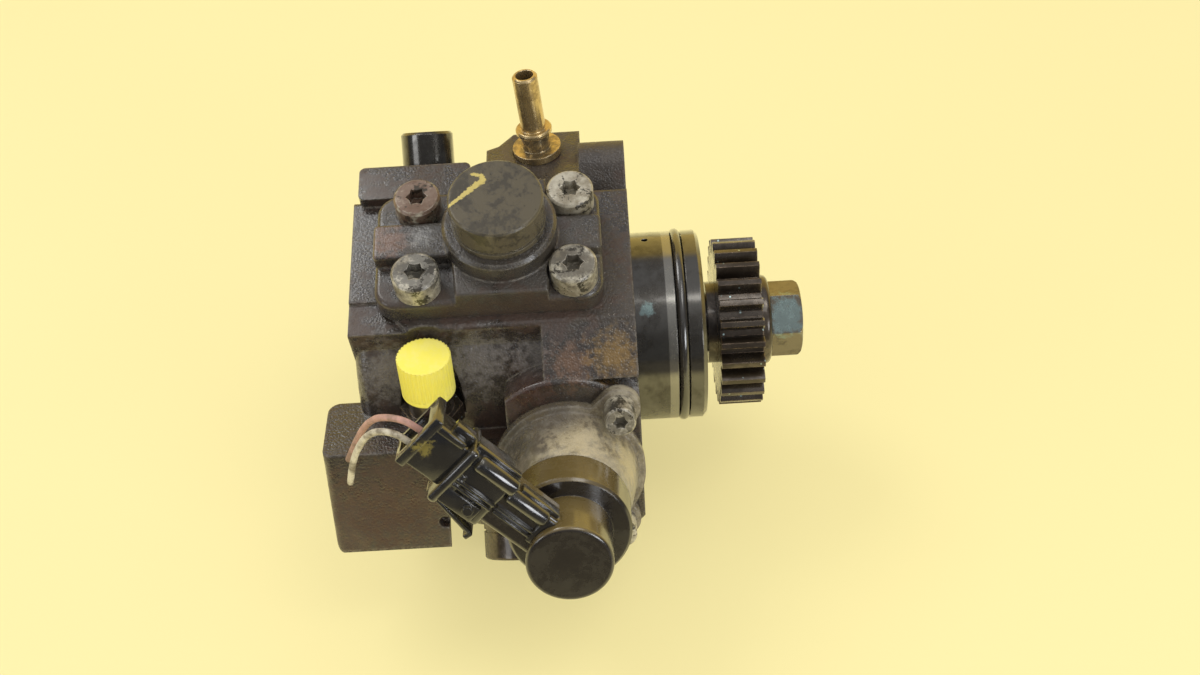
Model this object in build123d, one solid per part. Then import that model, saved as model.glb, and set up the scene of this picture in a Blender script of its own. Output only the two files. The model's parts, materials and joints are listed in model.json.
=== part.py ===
"""Radial-piston diesel injection pump with its metering valve, ports, drive gear and shaft nut.

Millimetres, +Z up as the pump lies in use on a bench. The origin is where the shaft axis meets
the housing's mounting face. +X runs along the shaft to the gear, and -Y is the metering valve's
side. An angle around the shaft is measured from -Y towards +Z.
"""
from build123d import *
from math import cos, pi, radians, sin, sqrt, tan
import os

# Angles around the shaft
ELEMENT_ANGLES = (75, 195, 315)
VALVE_ANGLE = 15
OVERFLOW_ANGLE = 125

# Clearances
SHAFT_GAP = 0.04
SLIDE_GAP = 0.03
LOOSE_GAP = 0.3

# Size of a cutting block that reaches past the whole pump
BEYOND = 300.0

# Housing casting
HOUSING_REAR = -88.0
BODY_R = 43.0
MAIN_BORE_R = 29.0
SEAT_H = 44.0
SEAT_HALF = 25.5
SEAT_RELIEF = 1.0
RELIEF_T = 14.0
RELIEF_W = 10.0
REAR_EDGE_R = 5.0
CAST_R = 1.8
REAR_STEP_R = 35.0
REAR_STEP_DEPTH = 6.0
COVER_SCREW_RADIUS = 32.0
COVER_SCREW_R = 1.5
COVER_SCREW_COUNT = 4
FLANGE_T = 15.0
WEB_REAR = -29.0
BOSS_CORNER_X = -41.3
BOSS_CORNER_T = -12.0
RIDGE_LENGTH = 36.0
RIDGE_W = 13.0

# Pumping elements
ELEMENT_X = -39.7
STROKE = 7.0
ECCENTRICITY = STROKE / 2
PLUNGER_R = 4.0
BARREL_R = 9.0
BARREL_FOOT_H = 34.0
SPRING_WELL_R = 14.2
TAPPET_R = 12.0
TAPPET_T = 3.0
SPRING_WIRE_R = 0.9
SPRING_MEAN_R = 10.9
SPRING_TURNS = 3

# Polygon ring and shaft
RING_FLAT = 20.5
RING_R = 24.0
RING_LENGTH = 20.0
RING_BUSH_T = 1.5
ECCENTRIC_R = 14.0
ECCENTRIC_LENGTH = 22.4
FRONT_JOURNAL_R = 10.0
REAR_JOURNAL_R = 9.0
REAR_JOURNAL_LENGTH = 24.0
WASHER_T = 1.5
BUSH_T = 2.0
FRONT_BUSH_END = 14.0

# Pilot drum
PILOT_R = 31.6
PILOT_LENGTH = 22.7
PILOT_SEAT = 2.5
PILOT_RELIEF = 1.0
PILOT_GROOVE_X = 13.4
PILOT_GROOVE_W = 3.8
PILOT_GROOVE_DEPTH = 2.8
O_RING_R = 1.35
SEAL_R = 16.0
SEAL_T = 6.0
SEAL_RECESS = 0.7
WEEP_R = 1.1
WEEP_X = 5.0
WEEP_ANGLE = 105

# Drive end
GEAR_TEETH = 25
GEAR_MODULE = 2.08
GEAR_WIDTH = 14.1
GEAR_X = 27.5
GEAR_BORE_R = 9.5
GEAR_HUB_R = 13.75
GEAR_HUB_T = 3.0
KEY_W = 4.0
KEY_LENGTH = 11.0
KEY_RISE = 1.5
GEAR_WASHER_R = 15.0
GEAR_WASHER_T = 4.0
NUT_AF = 22.0
NUT_T = 10.5
THREAD_R = 7.0

# Cylinder head casting, about the element's axis
HEAD_REAR = -39.3
HEAD_FRONT = 30.7
HEAD_HALF = 21.4
HEAD_ROOM = 0.5
PLATE_T = 7.5
PAD_T = 4.5
HEAD_ARM_W = 13.0
HEAD_PAD_W = 28.0
COLLAR_R = 17.5
COLLAR_H = 63.0
HEAD_PLUG_R = 14.3
HEAD_PLUG_STEM_R = 11.0
HEAD_PLUG_TOP = 75.0
HEAD_PLUG_SEAT_H = 65.0
BOLT_REAR = -25.8
BOLT_FRONT = 21.8
BOLT_T = 14.1
BOLT_R = 4.0
BOLT_HEAD_R = 7.25
BOLT_HEAD_T = 7.9
BOLT_DEPTH = 13.5
TORX_R = 3.375
TORX_DEPTH = 4.2

# Element valves
BARREL_TOP_H = 52.0
PLUNGER_TOP_H = 48.0
SUCTION_R = 6.0
SUCTION_T = 1.2
SUCTION_LIFT = 0.6
OUTLET_H = 50.0
OUTLET_R = 3.0
OUTLET_SEAT_X = 14.0
OUTLET_BALL_R = 2.5
OUTLET_PORT_R = 1.2
OUTLET_PLUG_T = 6.0

# Metering valve, about its own axis
VALVE_X = -23.0
VALVE_T = -20.0
BOSS_H = 54.0
VALVE_BORE_R = 8.5
VALVE_BORE_FLOOR = 43.0
VALVE_FLANGE_T = 3.5
VALVE_FLANGE_R = 23.7
VALVE_BODY_R = 21.6
VALVE_NECK_LENGTH = 22.4
VALVE_RING_R = 18.3
VALVE_RING_LENGTH = 12.8
VALVE_CAP_R = 12.6
VALVE_CAP_LENGTH = 16.2
VALVE_SEAL_R = 0.8
VALVE_EAR_R = 6.4
VALVE_EARS = ((53, 27.5), (180, 27.0), (309, 24.0))
VALVE_BOSS_R = 31.0
VALVE_SCREW_R = 2.5
VALVE_SCREW_HEAD_R = 4.8
VALVE_SCREW_HEAD_T = 8.5
VALVE_SCREW_DEPTH = 6.0
SPOOL_R = 3.0
SPOOL_TRAVEL = 3.0
CORE_R = 7.0
CORE_BORE_R = 6.0
CORE_ROOT = 6.0
CORE_LENGTH = 15.6
CORE_WALL = 1.5
ARMATURE_LENGTH = 8.0
ARMATURE_RISE = 1.6
COIL_R = 12.0
COIL_COVER = 2.0
VALVE_NECK_H = BOSS_H + VALVE_NECK_LENGTH
VALVE_RING_H = VALVE_NECK_H + VALVE_RING_LENGTH
VALVE_CAP_H = VALVE_RING_H + VALVE_CAP_LENGTH
CORE_TOP_H = VALVE_NECK_H + CORE_LENGTH
ARMATURE_H = VALVE_NECK_H + ARMATURE_RISE

# Connector, along its own axis from the valve's axis
CONNECTOR_H = VALVE_RING_H + 7.8
CONNECTOR_ANGLE = 135
SOCKET_W = 14.5
SOCKET_T = 10.0
SOCKET_WALL = 1.2
SOCKET_END = 38.0
SOCKET_FLOOR = 20.0
RIB_W = 8.0
PLUG_START = 27.5
PLUG_STEP = 43.5
PLUG_END = 57.5
PLUG_W = 18.0
PLUG_T = 14.0
PLUG_REAR_W = 14.0
PLUG_REAR_T = 11.0
PLUG_COLLAR = 1.0
PLUG_BAR_R = 2.0
TONGUE_END = 30.0
PIN_W = 1.6
PIN_T = 0.7
PIN_PITCH = 5.0
WIRE_R = 1.0
WIRE_START = PLUG_END - 2

# Routes of the two cut wires, as distance past the plug's end, sideways and inward of the connector's axis
PINK_ROUTE = (
    (-2, -2.5, 0), (2.4, -2.5, 0), (6.0, -0.6, 1.2), (8.4, 2.6, 3.2), (9.2, 6.6, 6.6), (8.4, 13.0, 10.8),
    (6.0, 20.5, 14.5), (3.0, 28.5, 18.0),
)
WHITE_ROUTE = (
    (-2, 2.5, 0), (2.4, 2.5, 0), (5.6, 4.6, 1.2), (7.4, 8.0, 3.4), (7.6, 12.6, 5.8), (5.8, 19.2, 8.4),
    (2.6, 26.2, 11.6), (-1.6, 33.0, 15.6),
)

# Outlet block and its capped fitting
BLOCK_REAR = -98.5
BLOCK_FRONT = -62.0
BLOCK_H = 58.0
BLOCK_TOP_Z = 6.3
BLOCK_FACE = 36.0
BLOCK_CORNER_R = 2.5
BLOCK_BACK = 35.5
BLOCK_BACK_R = 4.0
BLOCK_STEP = 2.7
BLOCK_STEP_FRONT = -46.0
SIDE_HOLE_X = -63.0
SIDE_HOLE_T = -35.5
SIDE_HOLE_R = 2.1
OUTLET_X = -64.6
OUTLET_Y = -44.6
SPOTFACE_R = 10.4
FITTING_HEX = 17.0
FITTING_HEX_T = 6.0
FITTING_R = 7.0
FITTING_TOP_Z = 30.0
FITTING_BORE_R = 2.0
CAP_R = 8.3
CAP_BOTTOM_Z = 19.4
CAP_TOP_Z = 33.2
CAP_FLUTES = 38

# Return nipple
NIPPLE_X = -28.6
NIPPLE_Y = 35.5
NIPPLE_BLOCK_Z = 49.0
NIPPLE_PAD_HALF = 14.1
NIPPLE_LEAN = 4.0
NIPPLE_LENGTH = 30.0
NIPPLE_STEM = 9.0
NIPPLE_FLANGE_R = 8.0
NIPPLE_BEAD = 8.0
NIPPLE_BEAD_R = 6.0
NIPPLE_R = 4.1
NIPPLE_BORE_R = 2.9

# Overflow valve
OVERFLOW_X = -65.0
OVERFLOW_PLUG_R = 8.6
OVERFLOW_PLUG_H = 69.0
OVERFLOW_SEAT_H = 56.0
OVERFLOW_BORE_R = 5.0
OVERFLOW_FLOOR_H = 33.0
OVERFLOW_PISTON_LENGTH = 8.0

# Mounting lugs
LUG_RADIUS = 54.0
LUG_R = 8.6
LUG_HOLE_R = 4.2
LUG_ANGLES = (125, 235)
STUD_HOLE_ANGLE = 345
STUD_HOLE_RADIUS = 50.0
STUD_HOLE_DEPTH = 8.0


def rod(radius, start, end):
    """A cylinder on Z from start to end."""
    return Pos(0, 0, start) * Cylinder(radius, end - start, align=(Align.CENTER, Align.CENTER, Align.MIN))


def sleeve(outer, inner, start, end):
    """A ring of rectangular section on Z."""
    return rod(outer, start, end) - rod(inner, start - 1, end + 1)


def slab(sketch, start, end):
    """A sketch on XY raised from start to end."""
    return Pos(0, 0, start) * extrude(sketch, amount=end - start)


def rounded_box(x_size, y_size, radius, start, end):
    return slab(RectangleRounded(x_size, y_size, radius), start, end)


def shaft_wise(shape):
    """Turn a shape made on Z so that it lies along the shaft, +Z becoming +X."""
    return Rot(0, 90, 0) * shape


def outward(angle):
    """Frame of a radial part: its Z points away from the shaft at the angle, its X along the shaft."""
    return Rot(90 - angle, 0, 0)


def place(angle, height, offset=0.0):
    """Y and Z of a point at a height along the angle's direction, moved sideways by the offset."""
    turn = radians(angle)
    return (-height * cos(turn) + offset * sin(turn), height * sin(turn) + offset * cos(turn))


def prism(points, start, end):
    """A polygon in YZ, extruded along the shaft."""
    outline = make_face(Polyline(*points, close=True))
    return extrude(Plane.YZ.offset(start) * outline, amount=end - start, dir=(1, 0, 0))


def torx_recess(radius, depth, top):
    """Six-lobed socket cut down from the top of a screw head."""
    lobes = []
    for step in range(12):
        reach = radius if step % 2 == 0 else radius * 0.74
        lobes.append((reach * cos(step * pi / 6), reach * sin(step * pi / 6)))
    return slab(make_face(Polyline(*lobes, close=True)), top - depth, top + 1)


def coil_spring(mean_radius, wire_radius, start, end, turns):
    """Round-wire compression spring on Z whose outer faces lie at start and end."""
    height = end - start - 2 * wire_radius
    path = Helix(pitch=height / turns, height=height, radius=mean_radius)
    path = Pos(0, 0, start + wire_radius) * path
    section = Plane(origin=path @ 0, z_dir=path % 0) * RegularPolygon(wire_radius, 6)
    return sweep(section, path=path, is_frenet=True)


def seal_ring(middle_radius, cord_radius):
    """O-ring about Z with a twelve-sided section."""
    section = Plane.XZ * Pos(middle_radius, 0) * RegularPolygon(cord_radius, 12)
    return revolve(section, Axis.Z)


def in_element(angle, shape):
    """Put a shape made about an element's own axis at the element's angle."""
    return outward(angle) * Pos(ELEMENT_X, 0, 0) * shape


def bolt_places():
    return [(x, t) for x in (BOLT_REAR, BOLT_FRONT) for t in (-BOLT_T, BOLT_T)]


PLATE_TOP_H = SEAT_H + PLATE_T
PAD_TOP_H = PLATE_TOP_H + PAD_T
TAPPET_FOOT_H = RING_FLAT + ECCENTRICITY + LOOSE_GAP
TAPPET_TOP_H = TAPPET_FOOT_H + TAPPET_T


def cylinder_head():
    length = HEAD_FRONT - HEAD_REAR
    middle = (HEAD_FRONT + HEAD_REAR) / 2
    plate = Pos(middle, 0, 0) * rounded_box(length, 2 * HEAD_HALF, 7, SEAT_H, PLATE_TOP_H)
    plate = fillet(plate.edges().group_by(Axis.Z)[-1], CAST_R)
    arms = Pos(middle, 0, 0) * rounded_box(length, HEAD_ARM_W, 1.5, SEAT_H, PAD_TOP_H)
    arms = fillet(arms.edges().group_by(Axis.Z)[-1], CAST_R / 2)
    foot, waist = HEAD_PAD_W / 2, HEAD_PAD_W / 2 + 2
    pad = make_face(Polyline(
        (-foot, -HEAD_HALF), (foot, -HEAD_HALF), (waist, 0), (foot, HEAD_HALF), (-foot, HEAD_HALF), (-waist, 0),
        close=True,
    ))
    pads = slab(pad, SEAT_H, PAD_TOP_H)
    pads = fillet(pads.edges().group_by(Axis.Z)[-1], CAST_R / 2)
    collar = rod(COLLAR_R, SEAT_H, COLLAR_H)
    collar = chamfer(collar.edges().group_by(Axis.Z)[-1], 1.0)
    head = plate + arms + pads + collar
    for x, t in bolt_places():
        well = rod(BOLT_HEAD_R + 0.9, PLATE_TOP_H, PAD_TOP_H + 9)
        head -= Pos(x, t, 0) * well
        head -= Pos(x, t, 0) * rod(BOLT_R, SEAT_H - 1, PLATE_TOP_H + 1)
    head -= rod(BARREL_R, SEAT_H - 1, BARREL_TOP_H)
    head -= rod(HEAD_PLUG_STEM_R, BARREL_TOP_H, COLLAR_H + 1)
    outlet = Pos(0, 0, OUTLET_H) * shaft_wise(rod(OUTLET_R, OUTLET_SEAT_X, HEAD_FRONT + 1))
    port = Pos(0, 0, OUTLET_H) * shaft_wise(rod(OUTLET_PORT_R, BARREL_R - 1, OUTLET_SEAT_X + 1))
    return head - outlet - port


def head_bolts():
    bolts = []
    for x, t in bolt_places():
        head = rod(BOLT_HEAD_R, PLATE_TOP_H, PLATE_TOP_H + BOLT_HEAD_T)
        head = chamfer(head.edges().group_by(Axis.Z)[-1], 0.7)
        shank = rod(BOLT_R, SEAT_H - BOLT_DEPTH, PLATE_TOP_H)
        recess = torx_recess(TORX_R, TORX_DEPTH, PLATE_TOP_H + BOLT_HEAD_T)
        bolts.append(Pos(x, t, 0) * (head + shank - recess))
    return bolts


def head_plug():
    stem = rod(HEAD_PLUG_STEM_R, BARREL_TOP_H + 2 * SUCTION_LIFT + SUCTION_T, HEAD_PLUG_SEAT_H)
    crown = rod(HEAD_PLUG_R, COLLAR_H, HEAD_PLUG_TOP)
    crown = chamfer(crown.edges().group_by(Axis.Z)[-1], 0.6)
    groove = sleeve(HEAD_PLUG_R + 1, HEAD_PLUG_R - 0.6, HEAD_PLUG_SEAT_H, HEAD_PLUG_SEAT_H + 1)
    return stem + crown - groove


def barrel():
    body = sleeve(BARREL_R, PLUNGER_R + SLIDE_GAP, BARREL_FOOT_H, BARREL_TOP_H)
    port = Pos(0, 0, OUTLET_H) * shaft_wise(rod(OUTLET_PORT_R, 0, BARREL_R + 1))
    return body - port


def plunger():
    return rod(PLUNGER_R, TAPPET_FOOT_H + TAPPET_T / 2, PLUNGER_TOP_H)


def tappet_foot():
    foot = rod(TAPPET_R, TAPPET_FOOT_H, TAPPET_TOP_H)
    boss = rod(PLUNGER_R + 2, TAPPET_TOP_H, TAPPET_TOP_H + TAPPET_T)
    return foot + boss - rod(PLUNGER_R, TAPPET_FOOT_H + TAPPET_T / 2, TAPPET_TOP_H + TAPPET_T + 1)


def plunger_spring():
    return coil_spring(SPRING_MEAN_R, SPRING_WIRE_R, TAPPET_TOP_H, SEAT_H, SPRING_TURNS)


def suction_valve():
    disc = rod(SUCTION_R, BARREL_TOP_H, BARREL_TOP_H + SUCTION_T)
    slots = PolarLocations(SUCTION_R - 1, 4) * Cylinder(0.8, 200)
    return disc - slots


def outlet_ball():
    reach = sqrt(OUTLET_BALL_R**2 - OUTLET_PORT_R**2)
    return Pos(OUTLET_SEAT_X + reach + SHAFT_GAP, 0, OUTLET_H) * Sphere(OUTLET_BALL_R)


def outlet_plug():
    plug = shaft_wise(rod(OUTLET_R, HEAD_FRONT - OUTLET_PLUG_T, HEAD_FRONT))
    socket = shaft_wise(slab(RegularPolygon(1.6, 6), HEAD_FRONT - 2.5, HEAD_FRONT + 1))
    return Pos(0, 0, OUTLET_H) * (plug - socket)


# Polygon ring, shaft and bearings, made with Z along the shaft


ECCENTRIC_REAR = ELEMENT_X - ECCENTRIC_LENGTH / 2
ECCENTRIC_FRONT = ELEMENT_X + ECCENTRIC_LENGTH / 2
FRONT_WASHER_X = ECCENTRIC_FRONT + LOOSE_GAP
REAR_WASHER_X = ECCENTRIC_REAR - LOOSE_GAP - WASHER_T
SPIGOT_REAR = FRONT_WASHER_X + WASHER_T
CAM_Y, CAM_Z = place(ELEMENT_ANGLES[0], ECCENTRICITY)


def cam_ring():
    """Ring with three flats, one square to each plunger, standing on the eccentric at rest."""
    ring = rod(RING_R, -RING_LENGTH / 2, RING_LENGTH / 2)
    ring = Pos(ELEMENT_X, 0, 0) * shaft_wise(ring)
    for angle in ELEMENT_ANGLES:
        block = Pos(ELEMENT_X, 0, RING_FLAT + RING_R) * Box(RING_LENGTH * 2, RING_R * 2, RING_R * 2)
        ring -= outward(angle) * block
    bore = rod(ECCENTRIC_R + SHAFT_GAP + RING_BUSH_T, -RING_LENGTH, RING_LENGTH)
    ring -= Pos(ELEMENT_X, 0, 0) * shaft_wise(bore)
    return Pos(0, CAM_Y, CAM_Z) * ring


def cam_ring_bush():
    inner = ECCENTRIC_R + SHAFT_GAP
    bush = sleeve(inner + RING_BUSH_T, inner, -RING_LENGTH / 2, RING_LENGTH / 2)
    return Pos(ELEMENT_X, CAM_Y, CAM_Z) * shaft_wise(bush)


GEAR_END = GEAR_X + GEAR_WIDTH
NUT_X = GEAR_END + GEAR_WASHER_T
SHAFT_REAR = ECCENTRIC_REAR - REAR_JOURNAL_LENGTH


def drive_shaft():
    """Forged shaft: rear journal, eccentric, front journal, gear seat and threaded nose."""
    shaft = rod(REAR_JOURNAL_R, SHAFT_REAR, ECCENTRIC_REAR)
    shaft += rod(FRONT_JOURNAL_R, ECCENTRIC_FRONT, GEAR_X - GEAR_HUB_T)
    shaft += rod(GEAR_BORE_R, GEAR_X - GEAR_HUB_T, GEAR_END - 1)
    shaft += rod(THREAD_R, GEAR_END - 1, NUT_X + NUT_T - 1)
    shaft = chamfer(shaft.edges().group_by(Axis.Z)[0], 0.8)
    shaft = shaft_wise(shaft)
    eccentric = shaft_wise(rod(ECCENTRIC_R, ECCENTRIC_REAR, ECCENTRIC_FRONT))
    return shaft + Pos(0, CAM_Y, CAM_Z) * eccentric - key_block()


def key_block():
    start = GEAR_X + (GEAR_WIDTH - KEY_LENGTH) / 2
    block = Box(KEY_LENGTH, KEY_W, 2 * KEY_RISE, align=(Align.MIN, Align.CENTER, Align.CENTER))
    return Pos(start, 0, GEAR_BORE_R) * block


def drive_gear():
    """Spur gear with curved flanks, a rear hub and a keyway."""
    pitch_r = GEAR_MODULE * GEAR_TEETH / 2
    tip_r = pitch_r + GEAR_MODULE * 0.92
    root_r = pitch_r - GEAR_MODULE * 1.25
    step = 2 * pi / GEAR_TEETH
    widths = ((root_r - 0.5, 0.33), (pitch_r, 0.25), (tip_r, 0.13))

    def at(radius, share):
        return (radius * cos(step * share), radius * sin(step * share))

    upper = [at(radius, share) for radius, share in widths]
    lower = [at(radius, -share) for radius, share in widths]
    edges = [
        ThreePointArc(*upper),
        ThreePointArc(upper[2], (tip_r, 0), lower[2]),
        ThreePointArc(*reversed(lower)),
        Line(lower[0], upper[0]),
    ]
    tooth = make_face(edges)
    profile = Circle(root_r) + PolarLocations(0, GEAR_TEETH) * tooth
    gear = slab(profile, GEAR_X, GEAR_END)
    gear += rod(GEAR_HUB_R, GEAR_X - GEAR_HUB_T, GEAR_X)
    gear -= rod(GEAR_BORE_R, GEAR_X - 9, GEAR_END + 1)
    gear = shaft_wise(gear)
    keyway = Box(4 * GEAR_WIDTH, KEY_W, 2 * KEY_RISE)
    return gear - Pos(GEAR_X, 0, GEAR_BORE_R) * keyway


def gear_washer():
    lower = rod(GEAR_WASHER_R, GEAR_END, GEAR_END + 1.6)
    cone = Pos(0, 0, GEAR_END + 1.6) * Cone(
        GEAR_WASHER_R - 1, NUT_AF / 2 + 1.2, GEAR_WASHER_T - 1.6, align=(Align.CENTER, Align.CENTER, Align.MIN)
    )
    return shaft_wise(lower + cone - rod(THREAD_R, GEAR_END - 1, NUT_X + 1))


def hexagon(across_flats):
    return RegularPolygon(across_flats / 2, 6, major_radius=False)


def shaft_nut():
    body = slab(hexagon(NUT_AF), NUT_X, NUT_X + NUT_T)
    crown_r = NUT_AF / sqrt(3)
    lathe = rod(crown_r + 1, NUT_X, NUT_X + NUT_T)
    lathe = chamfer(lathe.edges().group_by(Axis.Z)[-1], 2.0)
    nut = (body & lathe) - rod(THREAD_R, NUT_X - 1, NUT_X + NUT_T + 1)
    return shaft_wise(Rot(0, 0, VALVE_ANGLE + 15) * nut)


def pilot_flange():
    """Drum that centres the pump, with the front bearing's bore and the seal's seat."""
    drum = rod(PILOT_R, 0, PILOT_LENGTH)
    drum = chamfer(drum.edges().group_by(Axis.Z)[-1], 1.2)
    body = drum + rod(PILOT_R - PILOT_RELIEF, -PILOT_SEAT, 0) + rod(MAIN_BORE_R, SPIGOT_REAR, -PILOT_SEAT)
    body -= rod(FRONT_JOURNAL_R + SHAFT_GAP + BUSH_T, SPIGOT_REAR - 1, FRONT_BUSH_END)
    body -= rod(FRONT_JOURNAL_R + 1, FRONT_BUSH_END - 1, PILOT_LENGTH)
    body -= rod(SEAL_R, PILOT_LENGTH - SEAL_RECESS - SEAL_T, PILOT_LENGTH + 1)
    groove_floor = PILOT_R - PILOT_GROOVE_DEPTH
    body -= sleeve(PILOT_R + 1, groove_floor, PILOT_GROOVE_X, PILOT_GROOVE_X + PILOT_GROOVE_W)
    return shaft_wise(body) - outward(WEEP_ANGLE) * Pos(WEEP_X, 0, 0) * rod(WEEP_R, PILOT_R - 5, PILOT_R + 1)


def pilot_o_ring():
    middle = PILOT_GROOVE_X + PILOT_GROOVE_W / 2
    return Pos(middle, 0, 0) * shaft_wise(seal_ring(PILOT_R - PILOT_GROOVE_DEPTH + O_RING_R, O_RING_R))


def shaft_seal():
    end = PILOT_LENGTH - SEAL_RECESS
    body = sleeve(SEAL_R, FRONT_JOURNAL_R + SHAFT_GAP, end - SEAL_T, end)
    return shaft_wise(body - sleeve(SEAL_R - 2, FRONT_JOURNAL_R + 2, end - 2, end + 1))


def front_bush():
    inner = FRONT_JOURNAL_R + SHAFT_GAP
    return shaft_wise(sleeve(inner + BUSH_T, inner, SPIGOT_REAR, FRONT_BUSH_END))


def rear_bush():
    inner = REAR_JOURNAL_R + SHAFT_GAP
    return shaft_wise(sleeve(inner + BUSH_T, inner, SHAFT_REAR, REAR_WASHER_X))


def thrust_washers():
    front = sleeve(FRONT_JOURNAL_R + 7, FRONT_JOURNAL_R + LOOSE_GAP, FRONT_WASHER_X, SPIGOT_REAR)
    rear = sleeve(FRONT_JOURNAL_R + 7, REAR_JOURNAL_R + LOOSE_GAP, REAR_WASHER_X, REAR_WASHER_X + WASHER_T)
    return [shaft_wise(front), shaft_wise(rear)]


def cover_screw_places():
    return PolarLocations(COVER_SCREW_RADIUS, COVER_SCREW_COUNT, start_angle=45)


def rear_cover():
    """Flush rear cover whose spigot carries the rear bearing."""
    face = HOUSING_REAR
    body = rod(REAR_STEP_R, face, face + REAR_STEP_DEPTH)
    body += rod(MAIN_BORE_R, face + REAR_STEP_DEPTH, REAR_WASHER_X)
    body -= rod(REAR_JOURNAL_R + SHAFT_GAP + BUSH_T, SHAFT_REAR - 1, REAR_WASHER_X + 1)
    body -= rod(MAIN_BORE_R - 7, face - 1, face + 2.5)
    body -= cover_screw_places() * rod(COVER_SCREW_R, face - 1, face + REAR_STEP_DEPTH + 1)
    body -= cover_screw_places() * screw_cone(face)
    return shaft_wise(body)


def screw_cone(face):
    return Pos(0, 0, face) * Cone(
        COVER_SCREW_R * 1.9, COVER_SCREW_R, 2.0, align=(Align.CENTER, Align.CENTER, Align.MIN)
    )


def cover_screws():
    face = HOUSING_REAR
    screw = rod(COVER_SCREW_R, face + 1, face + REAR_STEP_DEPTH + 7) + screw_cone(face)
    screw -= slab(RegularPolygon(1.3, 6), face - 1, face + 1.4)
    return [shaft_wise(place_ * screw) for place_ in cover_screw_places()]


# Housing casting


def seat_block(angle):
    """Rib that carries one cylinder head, from the shaft out to the head's seat."""
    length = -HOUSING_REAR
    block = Box(length, 2 * SEAT_HALF, SEAT_H, align=(Align.MAX, Align.CENTER, Align.MIN))
    edges = block.edges().filter_by(Axis.X).group_by(Axis.Z)[-1]
    return outward(angle) * fillet(edges, CAST_R)


def seat_relief():
    """Lower corner of the upper seat, left as cast beside the head."""
    beyond = SEAT_HALF + 1
    start = HOUSING_REAR - 1
    corner = make_face(Polyline(
        (start, -RELIEF_T), (start + RELIEF_W, -RELIEF_T), (start + 2 * RELIEF_W, -beyond), (start, -beyond), close=True
    ))
    return outward(ELEMENT_ANGLES[0]) * slab(corner, SEAT_H - SEAT_RELIEF, SEAT_H + 1)


def valve_boss():
    """Round boss about the valve, with the web that joins it to the upper seat."""
    boss = rod(VALVE_BOSS_R, MAIN_BORE_R, BOSS_H)
    boss = valve_frame() * fillet(boss.edges().group_by(Axis.Z)[-1], CAST_R)
    corner = Box(BEYOND, BEYOND, BEYOND, align=(Align.MAX, Align.MIN, Align.CENTER))
    boss -= outward(VALVE_ANGLE) * Pos(BOSS_CORNER_X, BOSS_CORNER_T, 0) * corner
    angle = ELEMENT_ANGLES[0]
    crest = place(VALVE_ANGLE, BOSS_H - CAST_R / 2, VALVE_T + VALVE_BOSS_R - CAST_R / 2)
    roof = [place(angle, 0), place(angle, SEAT_H, CAST_R - SEAT_HALF), crest]
    web = prism(roof, WEB_REAR, 0)
    before_face = Box(BEYOND, BEYOND, BEYOND, align=(Align.MIN, Align.CENTER, Align.CENTER))
    return boss + web - before_face


def head_room(angle):
    """Room above one seat, as wide as the cylinder head and as long as the housing allows."""
    length = HEAD_FRONT - HEAD_REAR + 2 * HEAD_ROOM
    middle = ELEMENT_X + (HEAD_FRONT + HEAD_REAR) / 2
    width = 2 * (HEAD_HALF + HEAD_ROOM)
    room = Box(length, width, BEYOND, align=(Align.CENTER, Align.CENTER, Align.MIN))
    return outward(angle) * Pos(middle, 0, SEAT_H) * room


def outlet_block():
    """Port lobe beside the rear end, flat on top and square to the valve's direction in front."""
    top_front_t = (BLOCK_TOP_Z - BLOCK_H * sin(radians(VALVE_ANGLE))) / cos(radians(VALVE_ANGLE))
    front_top = place(VALVE_ANGLE, BLOCK_H, top_front_t)
    front_bottom = place(VALVE_ANGLE, BLOCK_H, top_front_t - BLOCK_FACE)
    root_bottom = place(ELEMENT_ANGLES[2], 20, SEAT_HALF)
    section = [(root_bottom[0], BLOCK_TOP_Z), front_top, front_bottom, root_bottom]
    block = prism(section, BLOCK_REAR, BLOCK_FRONT)
    shelf_top = place(VALVE_ANGLE, BLOCK_H, VALVE_T)
    shelf_bottom = place(VALVE_ANGLE, BLOCK_H, top_front_t - BLOCK_FACE + BLOCK_STEP)
    shelf = prism([place(VALVE_ANGLE, 20, VALVE_T), shelf_top, shelf_bottom, root_bottom], BLOCK_FRONT, BLOCK_STEP_FRONT)
    rear_edges = block.edges().filter_by_position(Axis.X, BLOCK_REAR - 0.1, BLOCK_REAR + 0.1)
    corner = (BLOCK_REAR, (front_top[0] + front_bottom[0]) / 2, (front_top[1] + front_bottom[1]) / 2)
    block = fillet(rear_edges.sort_by_distance(corner)[0], BLOCK_CORNER_R)
    behind = Pos(HOUSING_REAR, -BLOCK_BACK, 0) * Box(BEYOND, BEYOND, BEYOND, align=(Align.MAX, Align.MIN, Align.CENTER))
    block -= behind
    upright = block.edges().filter_by(Axis.Z).sort_by_distance((BLOCK_REAR, -BLOCK_BACK, 0))[0]
    block = fillet(upright, BLOCK_BACK_R)
    hole = Pos(SIDE_HOLE_X, SIDE_HOLE_T, 0) * rod(SIDE_HOLE_R, BLOCK_H - 4, BLOCK_H + 1)
    return block + shelf - outward(VALVE_ANGLE) * hole


def lug(angle):
    """Mounting ear flush with the front face, rounded about its bolt hole."""
    arm = Box(FLANGE_T, 2 * LUG_R, LUG_RADIUS, align=(Align.MAX, Align.CENTER, Align.MIN))
    y, z = place(angle, LUG_RADIUS)
    return outward(angle) * arm + Pos(0, y, z) * shaft_wise(rod(LUG_R, -FLANGE_T, 0))


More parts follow.
